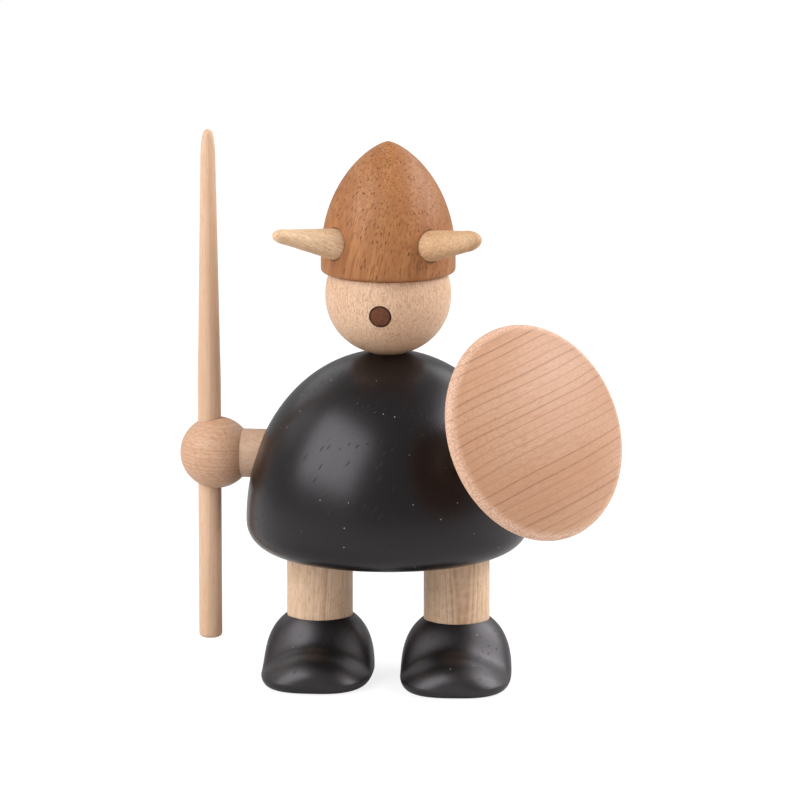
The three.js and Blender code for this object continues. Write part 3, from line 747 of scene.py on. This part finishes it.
def stain(name, place, offset, gloss, specular):
    """Black stain over open-pored wood: almost no grain, fine pits and a satin gloss."""
    return wood(
        name, place, bpy.context.scene.figurine_colours.stain,
        offset=offset,
        rings={"ring_spacing": 3.0, "fibre_width": 0.25, "fibre_stretch": 14.0},
        flecks={"width": 0.5, "stretch": 6.0, "cover": 0.2},
        grain=grain_along((0.55, 0.1, 0.8), (0, 1, 0)),
        pores={"spacing": 0.9, "stretch": 5.0, "size": 0.22, "cover": 1.0, "patch_size": 7.0},
        dust={"spacing": 1.8, "stretch": 1.0, "size": 0.08, "cover": 0.5, "patch_size": 12.0},
        tone=0.4, tone_shade=1.35, fibre=0.4, ring=0.3, fleck=0.3, fleck_shade=1.6,
        pore=0.5, pore_depth=8.0, wear=0.2, wear_shade=2.2,
        gloss=gloss, gloss_spread=0.04, bump=0.07, specular=specular, specular_tint=(1.0, 0.94, 1.0),
    )


def dress(piece, name, place, body, slot, base, node=None, **look):
    """Gives a turned piece its wood and puts it in place of a node, the one of its name if none is given."""
    material = wood(f"{name}_wood", place, base, **look)
    set_in_place(piece, f"{name}_turned", material, body, node or name)


class Step:
    """What the steps share: each makes its pieces from the scene's sizes and colours."""

    def execute(self, context):
        self.make(context.scene.figurine_sizes, context.scene.figurine_colours)
        return {"FINISHED"}


def tunic_profile(sizes):
    """The tunic from the middle of its hem to the neck's seat."""
    radius = (TUNIC_HIGH.x - TUNIC_LOW.x) / 2
    height = TUNIC_HIGH.z - TUNIC_LOW.z
    power = sizes.dome_fullness
    rise = height - sizes.hem_rise
    seat = sizes.neck_seat / 2
    crown = rise / (1 - (seat / radius) ** power) ** (1 / power)
    hem = arc(sizes.hem_inset, sizes.hem_rise, -90, 0, sizes.curve_steps // 2, sizes.hem_fullness)
    last = math.degrees(math.atan2(rise / crown, seat / radius))
    dome = arc(radius, crown, 0, last, sizes.curve_steps * 2, power)
    return [
        (0, 0),
        *moved(hem, radius - sizes.hem_inset, sizes.hem_rise),
        *moved(dome, 0, sizes.hem_rise)[1:],
        (0, height),
    ]


class FIGURINE_OT_tunic(Step, bpy.types.Operator):
    """Turn the domed tunic and drill it for the arms, the legs and the neck's dowel."""

    bl_idname = "figurine.tunic"
    bl_label = "Tunic"

    def make(self, sizes, colours):
        piece = link(turned("tunic", tunic_profile(sizes), sizes.round_steps, TUNIC_PLACE))
        drill_for(piece, "arm_right", SPEAR_ARM)
        drill_for(piece, "arm_left", SHIELD_ARM)
        drill_for(piece, "neck_dowel", TUNIC_PLACE)
        for side in SIDES:
            drill_for(piece, f"leg_{side}", leg_place(side))
        material = stain("tunic_stain", TUNIC_PLACE, (0.004, 0.003, 0.0), gloss=0.28, specular=0.48)
        set_in_place(piece, "tunic_turned", material, "tunic", "tunic")


def head_radius_at(sizes, height):
    """The head's radius at a height above its seat."""
    radius = (HEAD_HIGH.x - HEAD_LOW.x) / 2
    power = sizes.head_fullness
    seat = (sizes.neck_seat / 2 / radius) ** power
    ball = sizes.head_widest / (1 - seat) ** (1 / power)
    share = abs(height - sizes.head_widest) / ball
    return radius * (1 - share ** power) ** (1 / power)


def head_form(sizes):
    """The whole ball of the head, before the nose is drilled."""
    height = HEAD_HIGH.z - HEAD_LOW.z
    steps = sizes.curve_steps * 2
    edge = sizes.soft_edge
    levels = [(height - edge) * (1 - math.cos(math.pi / 2 * step / steps)) for step in range(steps + 1)]
    cheek = [(head_radius_at(sizes, level), level) for level in levels]
    brow = moved(arc(edge, edge, 0, 90, SANDED_STEPS), cheek[-1][0] - edge, height - edge)
    return turned("head", [(0, 0), *cheek, *brow[1:], (0, height)], sizes.round_steps, HEAD_PLACE)


class FIGURINE_OT_head(Step, bpy.types.Operator):
    """Turn the head, drill it for the nose and its dowels, and set the nose flush."""

    bl_idname = "figurine.head"
    bl_label = "Head and nose"

    def make(self, sizes, colours):
        middle = (NOSE_LOW + NOSE_HIGH) / 2
        place = facing((middle.x, NOSE_LOW.y, middle.z), (0, -1, 0))
        depth = NOSE_HIGH.y - NOSE_LOW.y
        diameter = NOSE_HIGH.x - NOSE_LOW.x
        head = link(head_form(sizes))
        carve(head, drill(diameter, -depth - sizes.fit_gap, depth, place))
        drill_for(head, "neck_dowel", HEAD_PLACE)
        drill_for(head, "helmet_dowel", HEAD_PLACE)
        dress(
            head, "head", HEAD_PLACE, "head", "pale_wood", colours.head,
            offset=(0.002, 0.001, 0),
            rings={"ring_spacing": 2.2, "fibre_width": 0.3, "fibre_stretch": 7.0},
            flecks={"width": 0.15, "stretch": 9.0, "cover": 0.56, "waver": 1.2},
            tone=0.4, ring=0.15, fibre=0.5, fleck=1.0, fleck_shade=0.58, bump=0.6,
        )
        profile = peg(diameter / 2, -depth, depth, sizes.soft_edge)
        nose = link(turned("nose", profile, DRILL_STEPS, place))
        carve(nose, link(head_form(sizes)), "INTERSECT")
        dress(
            nose, "nose", place, "head", "dark_plug_wood", colours.nose, node="nose_plug",
            # The plug's edge is darkened: painted shade of the gap round it in the head
            rim={"radius": diameter / 2 / MM, "width": 0.35},
            rings={"ring_spacing": 0.9, "fibre_width": 0.4, "fibre_stretch": 4.0},
            flecks={"width": 0.5, "stretch": 3.0, "cover": 0.5},
            pores={"spacing": 0.9, "stretch": 3.0, "size": 0.35, "cover": 0.8},
            tone=0.8, tone_shade=0.6, fibre=0.7, ring=0.6, fleck=0.5, fleck_shade=1.4, pore=0.9,
            gloss=0.55, specular=0.25,
        )


def helmet_radius_at(sizes, height):
    """The helmet's radius at a height above its rim."""
    radius = (HELMET_HIGH.x - HELMET_LOW.x) / 2
    tall = HELMET_HIGH.z - HELMET_LOW.z
    share = max(0.0, (height - sizes.helmet_band) / (tall - sizes.helmet_band))
    return radius * max(0.0, 1 - share ** sizes.helmet_shoulder) ** sizes.helmet_point


def horn_place(sizes, side):
    """Where a horn leaves the helmet, looking out along the horn."""
    turn = SIDES[side] * sizes.horn_turn
    reach = helmet_radius_at(sizes, sizes.horn_height)
    point = HELMET_PLACE @ Vector((reach * math.sin(turn), -reach * math.cos(turn), sizes.horn_height))
    return facing(point, direction(turn, sizes.horn_tilt))


class FIGURINE_OT_helmet(Step, bpy.types.Operator):
    """Turn the pointed helmet and drill it for the horns and its dowel."""

    bl_idname = "figurine.helmet"
    bl_label = "Helmet"

    def make(self, sizes, colours):
        radius = (HELMET_HIGH.x - HELMET_LOW.x) / 2
        tall = HELMET_HIGH.z - HELMET_LOW.z
        edge = sizes.helmet_rim
        rim = moved(arc(edge, edge, -90, 0, RIM_STEPS), radius - edge, edge)
        steps = sizes.curve_steps * 2
        ogive = []
        for step in range(steps + 1):
            rise = math.sin(math.pi / 2 * step / steps)
            level = sizes.helmet_band + (tall - sizes.helmet_band) * rise
            ogive.append((helmet_radius_at(sizes, level), level))
        profile = [(0, 0), *rim, *ogive]
        piece = link(turned("helmet", profile, sizes.round_steps, HELMET_PLACE))
        drill_for(piece, "helmet_dowel", HELMET_PLACE)
        for side in SIDES:
            deep = -sizes.horn_depth - sizes.fit_gap
            carve(piece, drill(sizes.horn_diameter, deep, sizes.horn_length, horn_place(sizes, side)))
        dress(
            piece, "helmet", HELMET_PLACE, "head", "red_brown_wood", colours.helmet,
            grain=grain_along((0.2, -0.1, 1), (1, 0.4, 0)),
            offset=(0.003, 0.002, 0.001),
            rings={"ring_spacing": 4.6, "ring_wander": 3.0, "line_width": 0.85, "fibre_width": 0.5,
                   "fibre_stretch": 26.0, "pith_distance": 60.0},
            flecks={"width": 0.3, "stretch": 26.0, "cover": 0.5, "waver": 0.3},
            pores={"spacing": 0.55, "stretch": 4.0, "size": 0.3, "cover": 0.9, "patch_size": 11.0},
            tone=0.8, tone_shade=0.74, fibre=1.0, ring=0.9, ring_shade=0.52, fleck=0.9, fleck_shade=0.46,
            pore=0.9, wear=0.3, wear_shade=0.7, gloss=0.44, bump=0.45,
        )


class FIGURINE_OT_horns(Step, bpy.types.Operator):
    """Turn the two tapered horns."""

    bl_idname = "figurine.horns"
    bl_label = "Horns"

    def make(self, sizes, colours):
        base = sizes.horn_diameter / 2
        tips = {
            "right": (sizes.horn_right_tip / 2, sizes.horn_right_end),
            "left": (sizes.horn_left_tip / 2, sizes.horn_left_end),
        }
        edge = sizes.soft_edge
        foot = moved(arc(edge, edge, -90, 0, SANDED_STEPS), base - edge, edge - sizes.horn_depth)
        for side, shift in HORN_CUTS.items():
            place = horn_place(sizes, side)
            tip, reach = tips[side]
            end = moved(arc(tip, reach, 0, 90, TIP_STEPS), 0, sizes.horn_length - reach)
            profile = [(0, -sizes.horn_depth), *foot, (base, 0), *end]
            piece = link(turned("horn", profile, PEG_STEPS, place))
            dress(
                piece, f"horn_{side}", place, "head", "pale_wood", shade(colours.horn, *HORN_TINTS[side]),
                grain=grain_along((0.3, 0.1, 1), (0.4, 1, 0)),
                offset=(shift, 0.002, shift),
                rings={"ring_spacing": 1.3, "fibre_width": 0.28, "fibre_stretch": 9.0},
                flecks={"width": 0.18, "stretch": 7.0, "cover": 0.5, "waver": 0.5},
                tone=0.5, ring=0.5, fibre=0.6, fleck=0.9, fleck_shade=0.62, bump=0.45,
            )


def hand_profile(radius, low, high, flat):
    """A ball about the origin, cut flat below where the arm meets it and above where high is less than its
    radius."""
    first = -math.degrees(math.acos(flat / radius))
    last = math.degrees(math.asin(min(high / radius, 1.0)))
    ball = arc(radius, radius, first, last, BALL_STEPS)
    return [(0, low), *ball, (0, high)] if last < 90 else [(0, low), *ball]


class FIGURINE_OT_arms(Step, bpy.types.Operator):
    """Turn the arms and their ball hands, and bore the hands for the spear and the shield's dowel."""

    bl_idname = "figurine.arms"
    bl_label = "Arms and hands"

    def make(self, sizes, colours):
        bodies = {"right": ("spear_arm", SPEAR_ARM), "left": ("shield_arm", SHIELD_ARM)}
        for side, (body, place) in bodies.items():
            inner, tenon_end, arm_radius = span(f"arm_{side}", place)
            seat, hand_end, ball = span(f"hand_{side}", place)
            flat = arm_radius if side == "right" else sizes.shield_arm_seat / 2
            centre = seat + math.sqrt(ball ** 2 - flat ** 2)
            profile = peg(arm_radius, inner, seat, sizes.soft_edge / ARM_EDGE_PART)
            arm = link(turned("arm", profile, PEG_STEPS, place))
            dress(
                arm, f"arm_{side}", place, body, "pale_wood", colours.arm,
                grain=grain_along((0.25, 0.3, 1), (1, 0.3, 0)),
                offset=(0.004, 0.0, tenon_end),
                rings={"ring_spacing": 1.4, "fibre_width": 0.28, "fibre_stretch": 6.0},
                flecks={"width": 0.28, "stretch": 3.0, "cover": 0.5, "waver": 0.8},
                tone=0.4, ring=0.4, fleck=0.9, fleck_shade=0.62, fibre=0.5, bump=0.5,
            )
            middle = place @ Matrix.Translation((0, 0, centre))
            high = min(hand_end - centre, ball)
            profile = hand_profile(ball, seat - centre, high, flat)
            hand = link(turned("hand", profile, HAND_STEPS, middle))
            if side == "right":
                reach = 2 * ball
                bore = upright(SPEAR_PLACE.translation.x, SPEAR_PLACE.translation.y, middle.translation.z)
                carve(hand, drill(width_of("spear", 0), -reach, reach, bore))
            else:
                drill_for(hand, "shield_dowel", place)
            dress(
                hand, f"hand_{side}", middle, body, "tan_wood", colours.hand,
                grain=grain_along((0.05, 0.12, 1), (1, 0.05, 0)),
                offset=(0.0015, 0, 0),
                rings={"ring_spacing": 0.75, "ring_wander": 0.5, "line_width": 0.6, "fibre_width": 0.3,
                       "fibre_stretch": 8.0, "pith_distance": 90.0},
                flecks={"width": 0.26, "stretch": 4.5, "cover": 0.5, "waver": 0.6},
                tone=0.6, ring=0.8, fleck=0.8, fleck_shade=0.62, fibre=0.5, bump=0.5,
            )


class FIGURINE_OT_spear(Step, bpy.types.Operator):
    """Turn the tapered spear."""

    bl_idname = "figurine.spear"
    bl_label = "Spear"

    def make(self, sizes, colours):
        radius = width_of("spear", 0) / 2
        tall = SPEAR_HIGH.z - SPEAR_LOW.z
        neck = sizes.spear_neck / 2
        tip = sizes.spear_tip / 2
        edge = sizes.spear_foot
        foot = moved(arc(edge, edge, -90, 0, RIM_STEPS), radius - edge, edge)
        point = moved(arc(neck - tip, sizes.spear_point, 0, 90, TIP_STEPS), tip, tall - sizes.spear_point)
        profile = [(0, 0), *foot, (radius, sizes.spear_straight), *point, (0, tall)]
        piece = link(turned("spear", profile, SPEAR_STEPS, SPEAR_PLACE))
        dress(
            piece, "spear", SPEAR_PLACE, "spear", "pale_wood", colours.spear,
            grain=grain_along((0.01, 0.006, 1), (0.8, 1, 0)),
            offset=(0.006, 0.004, 0),
            rings={"ring_spacing": 1.2, "fibre_width": 0.3, "fibre_stretch": 30.0, "line_width": 0.5},
            flecks={"width": 0.26, "stretch": 9.0, "cover": 0.4},
            tone=0.6, ring=0.3, fleck=0.6, fleck_shade=0.72, fibre=0.35,
        )


class FIGURINE_OT_shield(Step, bpy.types.Operator):
    """Turn the domed shield and drill it for its dowel."""

    bl_idname = "figurine.shield"
    bl_label = "Shield"

    def make(self, sizes, colours):
        back, front, radius = span("shield", SHIELD_ARM)
        place = SHIELD_ARM @ Matrix.Translation((0, 0, back))
        edge = sizes.shield_edge / 2
        rim = arc(edge, edge, -90, math.degrees(sizes.shield_rim), TIP_STEPS)
        rim = moved(rim, radius - edge, edge)
        dome_radius, dome_level = rim[-1]
        rise = front - back - dome_level
        ball = (dome_radius ** 2 + rise ** 2) / (2 * rise)
        first = math.degrees(math.acos(dome_radius / ball))
        dome = moved(arc(ball, ball, first, 90, sizes.curve_steps), 0, dome_level + rise - ball)
        piece = link(turned("shield", [(0, 0), *rim, *dome[1:]], sizes.round_steps, place))
        drill_for(piece, "shield_dowel", SHIELD_ARM)
        along = (math.sin(SHIELD_LINES), -math.cos(SHIELD_LINES), 0.03)
        across = (math.cos(SHIELD_LINES), math.sin(SHIELD_LINES), -0.1)
        dress(
            piece, "shield", place, "shield_arm", "tan_wood", colours.shield,
            grain=grain_along(along, across),
            rings={"ring_spacing": 1.6, "ring_wander": 2.6, "line_width": 0.24, "line_breaks": 0.45,
                   "pith_distance": 260.0, "unevenness": 0.5, "fibre_width": 0.26, "fibre_stretch": 12.0},
            flecks={"width": 0.2, "stretch": 8.0, "cover": 0.45, "waver": 0.3},
            tone=1.0, tone_shade=0.84, tone_warmth=1.1, ring=1.0, ring_shade=0.3,
            fleck=0.8, fleck_shade=0.7, fibre=0.4, bump=0.35,
            # The rim is painted paler: partly rubbed-edge wear, partly a painted highlight where the left
            # lamp would catch the rim
            wear=2.6, wear_shade=1.8, wear_warmth=0.83, wear_patch=0.28,
        )


class FIGURINE_OT_legs(Step, bpy.types.Operator):
    """Turn the two legs."""

    bl_idname = "figurine.legs"
    bl_label = "Legs"

    def make(self, sizes, colours):
        for side, shift in LEG_CUTS.items():
            place = leg_place(side)
            low, high, radius = span(f"leg_{side}", place)
            piece = link(turned("leg", peg(radius, low, high, sizes.soft_edge), PEG_STEPS, place))
            dress(
                piece, f"leg_{side}", place, "tunic", "tan_wood", colours.leg,
                grain=grain_along((0.05, 0.03, 1), LEG_RINGS[side]),
                offset=(shift + 0.003, shift, shift),
                rings={"ring_spacing": 1.7, "ring_wander": 1.2, "line_width": 0.24, "fibre_width": 0.3,
                       "fibre_stretch": 16.0, "pith_distance": 30.0},
                flecks={"width": 0.3, "stretch": 4.5, "cover": 0.42, "waver": 0.9},
                pores={"spacing": 0.9, "stretch": 4.0, "size": 0.2, "cover": 0.4},
                tone=0.6, ring=1.0, ring_shade=0.42, fleck=0.9, fleck_shade=0.62,
                fibre=0.8, pore=0.5, bump=0.5,
            )


def bow(place, middle, front, back, power):
    """A rounded line over a length: 1 at its middle and 0 at its two ends."""
    share = np.abs(place - middle) / np.where(place > middle, front, back)
    return (1 - np.minimum(share, 1) ** power) ** (1 / power)


def boot_level(points, sizes, leg_radius):
    """How far points are from the boot's middle, where 1 is on its skin: an oval from above, and rounded
    sections under a top line that runs from a round ankle down over the toe."""
    ahead = -points[:, 1]
    half = sizes.boot_width / 2
    full = sizes.ankle_fullness
    middle = sizes.boot_widest_lead
    front = sizes.boot_toe_reach - middle
    back = sizes.boot_heel_reach + middle
    plan = bow(ahead, middle, front, back, sizes.plan_fullness)
    across = np.abs(points[:, 0]) / np.maximum(half * plan, TINY)
    bend = np.sqrt(1 - sizes.boot_front_round * across ** 2 / np.sqrt(1 + ROUNDING_LIMIT * across ** 4))
    flank = np.where(ahead > 0, ahead / bend, ahead)
    rise = sizes.boot_height - sizes.boot_sole_edge
    crown = rise / (1 - (leg_radius / half) ** full) ** (1 / full)
    fall = 1 / (1 + (np.maximum(flank, 0) / sizes.boot_instep_reach) ** sizes.instep_steepness)
    ankle = crown * np.where(ahead > 0, fall, bow(ahead, 0.0, 1.0, sizes.boot_heel_reach, full))
    toe_front = sizes.boot_toe_reach - sizes.boot_toe_lead
    toe = bow(ahead, sizes.boot_toe_lead, toe_front, sizes.boot_toe_root, sizes.toe_fullness)
    toe = (sizes.boot_toe_height - sizes.boot_sole_edge) * toe
    crease = sizes.boot_crease
    top = np.maximum(ankle, toe) + crease * np.log1p(np.exp(-np.abs(ankle - toe) / crease))
    to_toe = np.clip(flank / sizes.boot_instep_reach, 0, 1)
    to_toe = to_toe * to_toe * (3 - 2 * to_toe)
    up = np.abs(points[:, 2]) / top
    level = across ** (full + (2 - full) * to_toe)
    level = level + up ** (full + (sizes.toe_side_fullness - full) * to_toe)
    return np.where(plan > 0, level, OUTSIDE)


def boot_reach(directions, sizes, leg_radius):
    """Distance from the boot's middle to its skin in each direction, found by halving."""
    inside = np.zeros(len(directions))
    outside = np.full(len(directions), 2 * (sizes.boot_height + sizes.boot_toe_reach))
    for _ in range(HALVINGS):
        half = (inside + outside) / 2
        within = boot_level(directions * half[:, None], sizes, leg_radius) < 1
        inside = np.where(within, half, inside)
        outside = np.where(within, outside, half)
    return inside


def boot_mesh(sizes, leg_radius, place):
    """The boot's skin: a flat sole, a rounded edge and the form above it."""
    edge = sizes.boot_sole_edge
    turns = np.linspace(0, 2 * np.pi, sizes.round_steps, endpoint=False)
    level = np.stack([np.cos(turns), np.sin(turns), np.zeros_like(turns)], axis=1)
    outline = boot_reach(level, sizes, leg_radius)
    rings = [[(0, 0, 0)]]
    weights = [0.0]
    for step in range(SOLE_STEPS):
        bend = math.pi / 2 * (1 - step / SOLE_STEPS)
        points = level * (outline - edge * (1 - math.cos(bend)))[:, None]
        points[:, 2] = edge * (1 - math.sin(bend))
        rings.append(points.tolist())
        weights.append(SOLE_WEAR)
    rise_steps = sizes.curve_steps * 2
    for step in range(rise_steps):
        rise = math.pi / 2 * step / rise_steps
        rays = level * math.cos(rise)
        rays[:, 2] = math.sin(rise)
        points = rays * boot_reach(rays, sizes, leg_radius)[:, None]
        points[:, 2] += edge
        rings.append(points.tolist())
        weights.append(0.0)
    crown = boot_reach(np.array([[0.0, 0.0, 1.0]]), sizes, leg_radius)[0]
    rings.append([(0, 0, edge + crown)])
    weights.append(0.0)
    return skin("boot", rings, weights, place)


class FIGURINE_OT_boots(Step, bpy.types.Operator):
    """Shape the two boots and drill them for the legs."""

    bl_idname = "figurine.boots"
    bl_label = "Boots"

    def make(self, sizes, colours):
        turns = {"right": -sizes.boot_right_turn, "left": sizes.boot_left_turn}
        for side, turn in turns.items():
            leg = leg_place(side)
            leg_radius = span(f"leg_{side}", leg)[2]
            place = leg @ Matrix.Rotation(turn, 4, "Z")
            piece = link(boot_mesh(sizes, leg_radius, place))
            drill_for(piece, f"leg_{side}", leg)
            offset = (0.007, 0.002, 0.002 * SIDES[side])
            material = stain(f"boot_{side}_stain", place, offset, gloss=0.41, specular=0.75)
            node = f"boot_{side}"
            set_in_place(piece, f"{node}_shaped", material, "tunic", node)


class FIGURINE_OT_dowels(Step, bpy.types.Operator):
    """Give the hidden dowels their wood."""

    bl_idname = "figurine.dowels"
    bl_label = "Dowels"

    def make(self, sizes, colours):
        for node in ("neck_dowel", "helmet_dowel", "shield_dowel"):
            low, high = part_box(node)
            middle = (low + high) / 2
            material = wood(
                f"{node}_wood", upright(*middle), colours.arm,
                rings={"ring_spacing": 1.2, "fibre_width": 0.18},
            )
            frame["nodes"][node].data.materials.clear()
            frame["nodes"][node].data.materials.append(material)


def seen_by_camera(tree):
    """1 for rays from the camera, also through clear things, and 0 for the rest."""
    rays = add(tree, "ShaderNodeLightPath").outputs
    return maths(tree, "MAXIMUM", rays["Is Camera Ray"], rays["Is Transmission Ray"])


def floor_material(stage):
    """A pale floor that is white to the camera and keeps the figure's shadow."""
    material = bpy.data.materials.new("pale_floor")
    tree = new_tree(material)
    spot_scale = 9.0
    spot_shade = 0.985
    spots = noise(tree, add(tree, "ShaderNodeTexCoord").outputs["Object"], spot_scale)["Fac"]
    tone = mix(tree, tuple(stage.floor_colour), shade(stage.floor_colour, spot_shade), spots)
    matt = add(tree, "ShaderNodeBsdfDiffuse", {"Color": tone}).outputs[0]
    glow = add(tree, "ShaderNodeEmission", {"Color": (1, 1, 1), "Strength": stage.floor_glow}).outputs[0]
    part = add(tree, "ShaderNodeMixShader", {0: 1 - stage.floor_matt, 1: matt}).outputs[0]
    both = add(tree, "ShaderNodeAddShader", {0: part, 1: glow}).outputs[0]
    choice = add(tree, "ShaderNodeMixShader", {0: seen_by_camera(tree), 1: matt, 2: both}).outputs[0]
    add(tree, "ShaderNodeOutputMaterial", {"Surface": choice})
    return material


def sky(stage):
    """Even light, with a strength ahead and one behind, that the camera sees as white."""
    world = bpy.data.worlds.new("studio")
    bpy.context.scene.world = world
    tree = new_tree(world)
    back_end = -0.25
    front_end = 0.55
    way = add(tree, "ShaderNodeTexCoord").outputs["Generated"]
    ahead = measure(tree, "DOT_PRODUCT", way, direction(stage.camera_turn, 0.0))
    light = ramp(tree, ahead, back_end, front_end, stage.sky_back, stage.sky_front)
    strength = maths(tree, "MAXIMUM", light, seen_by_camera(tree))
    even = add(tree, "ShaderNodeBackground", {"Color": (1, 1, 1), "Strength": strength}).outputs[0]
    add(tree, "ShaderNodeOutputWorld", {"Surface": even})


def aim(made, stage, turn, rise, distance):
    """Sets a lamp or the camera at a distance from the figure, looking at it."""
    target = Vector((FIGURE_AXIS.x, FIGURE_AXIS.y, stage.target_height))
    way = direction(turn, rise)
    made.location = target + way * distance
    made.rotation_euler = way.to_track_quat("Z", "Y").to_euler()


class FIGURINE_OT_stage(bpy.types.Operator):
    """Lay the floor and set the lamps and the camera."""

    bl_idname = "figurine.stage"
    bl_label = "Stage"

    def execute(self, context):
        stage = context.scene.figurine_stage
        half = stage.floor_size / 2
        corners = [(-half, -half, 0), (half, -half, 0), (half, half, 0), (-half, half, 0)]
        mesh = bpy.data.meshes.new("floor")
        mesh.from_pydata(corners, [], [(0, 1, 2, 3)])
        mesh.materials.append(floor_material(stage))
        link(mesh)
        sky(stage)
        for name, (power, share, size, turn, rise) in LAMPS.items():
            data = bpy.data.lights.new(name, "AREA")
            data.shape = "RECTANGLE"
            data.size, data.size_y = size
            data.energy = share * getattr(stage, power)
            aim(link(data), stage, math.radians(turn), math.radians(rise), LAMP_DISTANCE)
        data = bpy.data.cameras.new("camera")
        data.lens = stage.lens
        data.sensor_width = SENSOR_WIDTH
        data.shift_x = stage.shift_across
        data.shift_y = stage.shift_up
        data.clip_start = NEAREST
        camera = link(data)
        aim(camera, stage, stage.camera_turn, stage.camera_rise, stage.camera_distance)
        context.scene.camera = camera
        context.scene.view_settings.view_transform = "Standard"
        return {"FINISHED"}


STEPS = ("tunic", "head", "helmet", "horns", "arms", "spear", "shield", "legs", "boots", "dowels", "stage")
GROUPS = {
    "figurine_sizes": FigurineSizes,
    "figurine_colours": FigurineColours,
    "figurine_stage": FigurineStage,
}


class FIGURINE_PT_panel(bpy.types.Panel):
    """The figurine's steps, sizes, colours and stage."""

    bl_idname = "FIGURINE_PT_panel"
    bl_label = "Figurine"
    bl_space_type = "VIEW_3D"
    bl_region_type = "UI"
    bl_category = "Figurine"

    def draw(self, context):
        layout = self.layout
        for step in STEPS:
            layout.operator(f"figurine.{step}")
        for label in GROUPS:
            group = getattr(context.scene, label)
            column = layout.column()
            for name in group.__annotations__:
                column.prop(group, name, text=name.replace("_", " ").capitalize())


CLASSES = (
    *GROUPS.values(),
    FIGURINE_OT_tunic,
    FIGURINE_OT_head,
    FIGURINE_OT_helmet,
    FIGURINE_OT_horns,
    FIGURINE_OT_arms,
    FIGURINE_OT_spear,
    FIGURINE_OT_shield,
    FIGURINE_OT_legs,
    FIGURINE_OT_boots,
    FIGURINE_OT_dowels,
    FIGURINE_OT_stage,
    FIGURINE_PT_panel,
)


def register():
    for cls in CLASSES:
        bpy.utils.register_class(cls)
    for name, kind in GROUPS.items():
        setattr(bpy.types.Scene, name, PointerProperty(type=kind))


def unregister():
    for name in GROUPS:
        delattr(bpy.types.Scene, name)
    for cls in reversed(CLASSES):
        bpy.utils.unregister_class(cls)


def main():
    """Builds the whole figurine."""
    register()
    for step in STEPS:
        getattr(bpy.ops.figurine, step)()


if __name__ == "__main__":
    main()
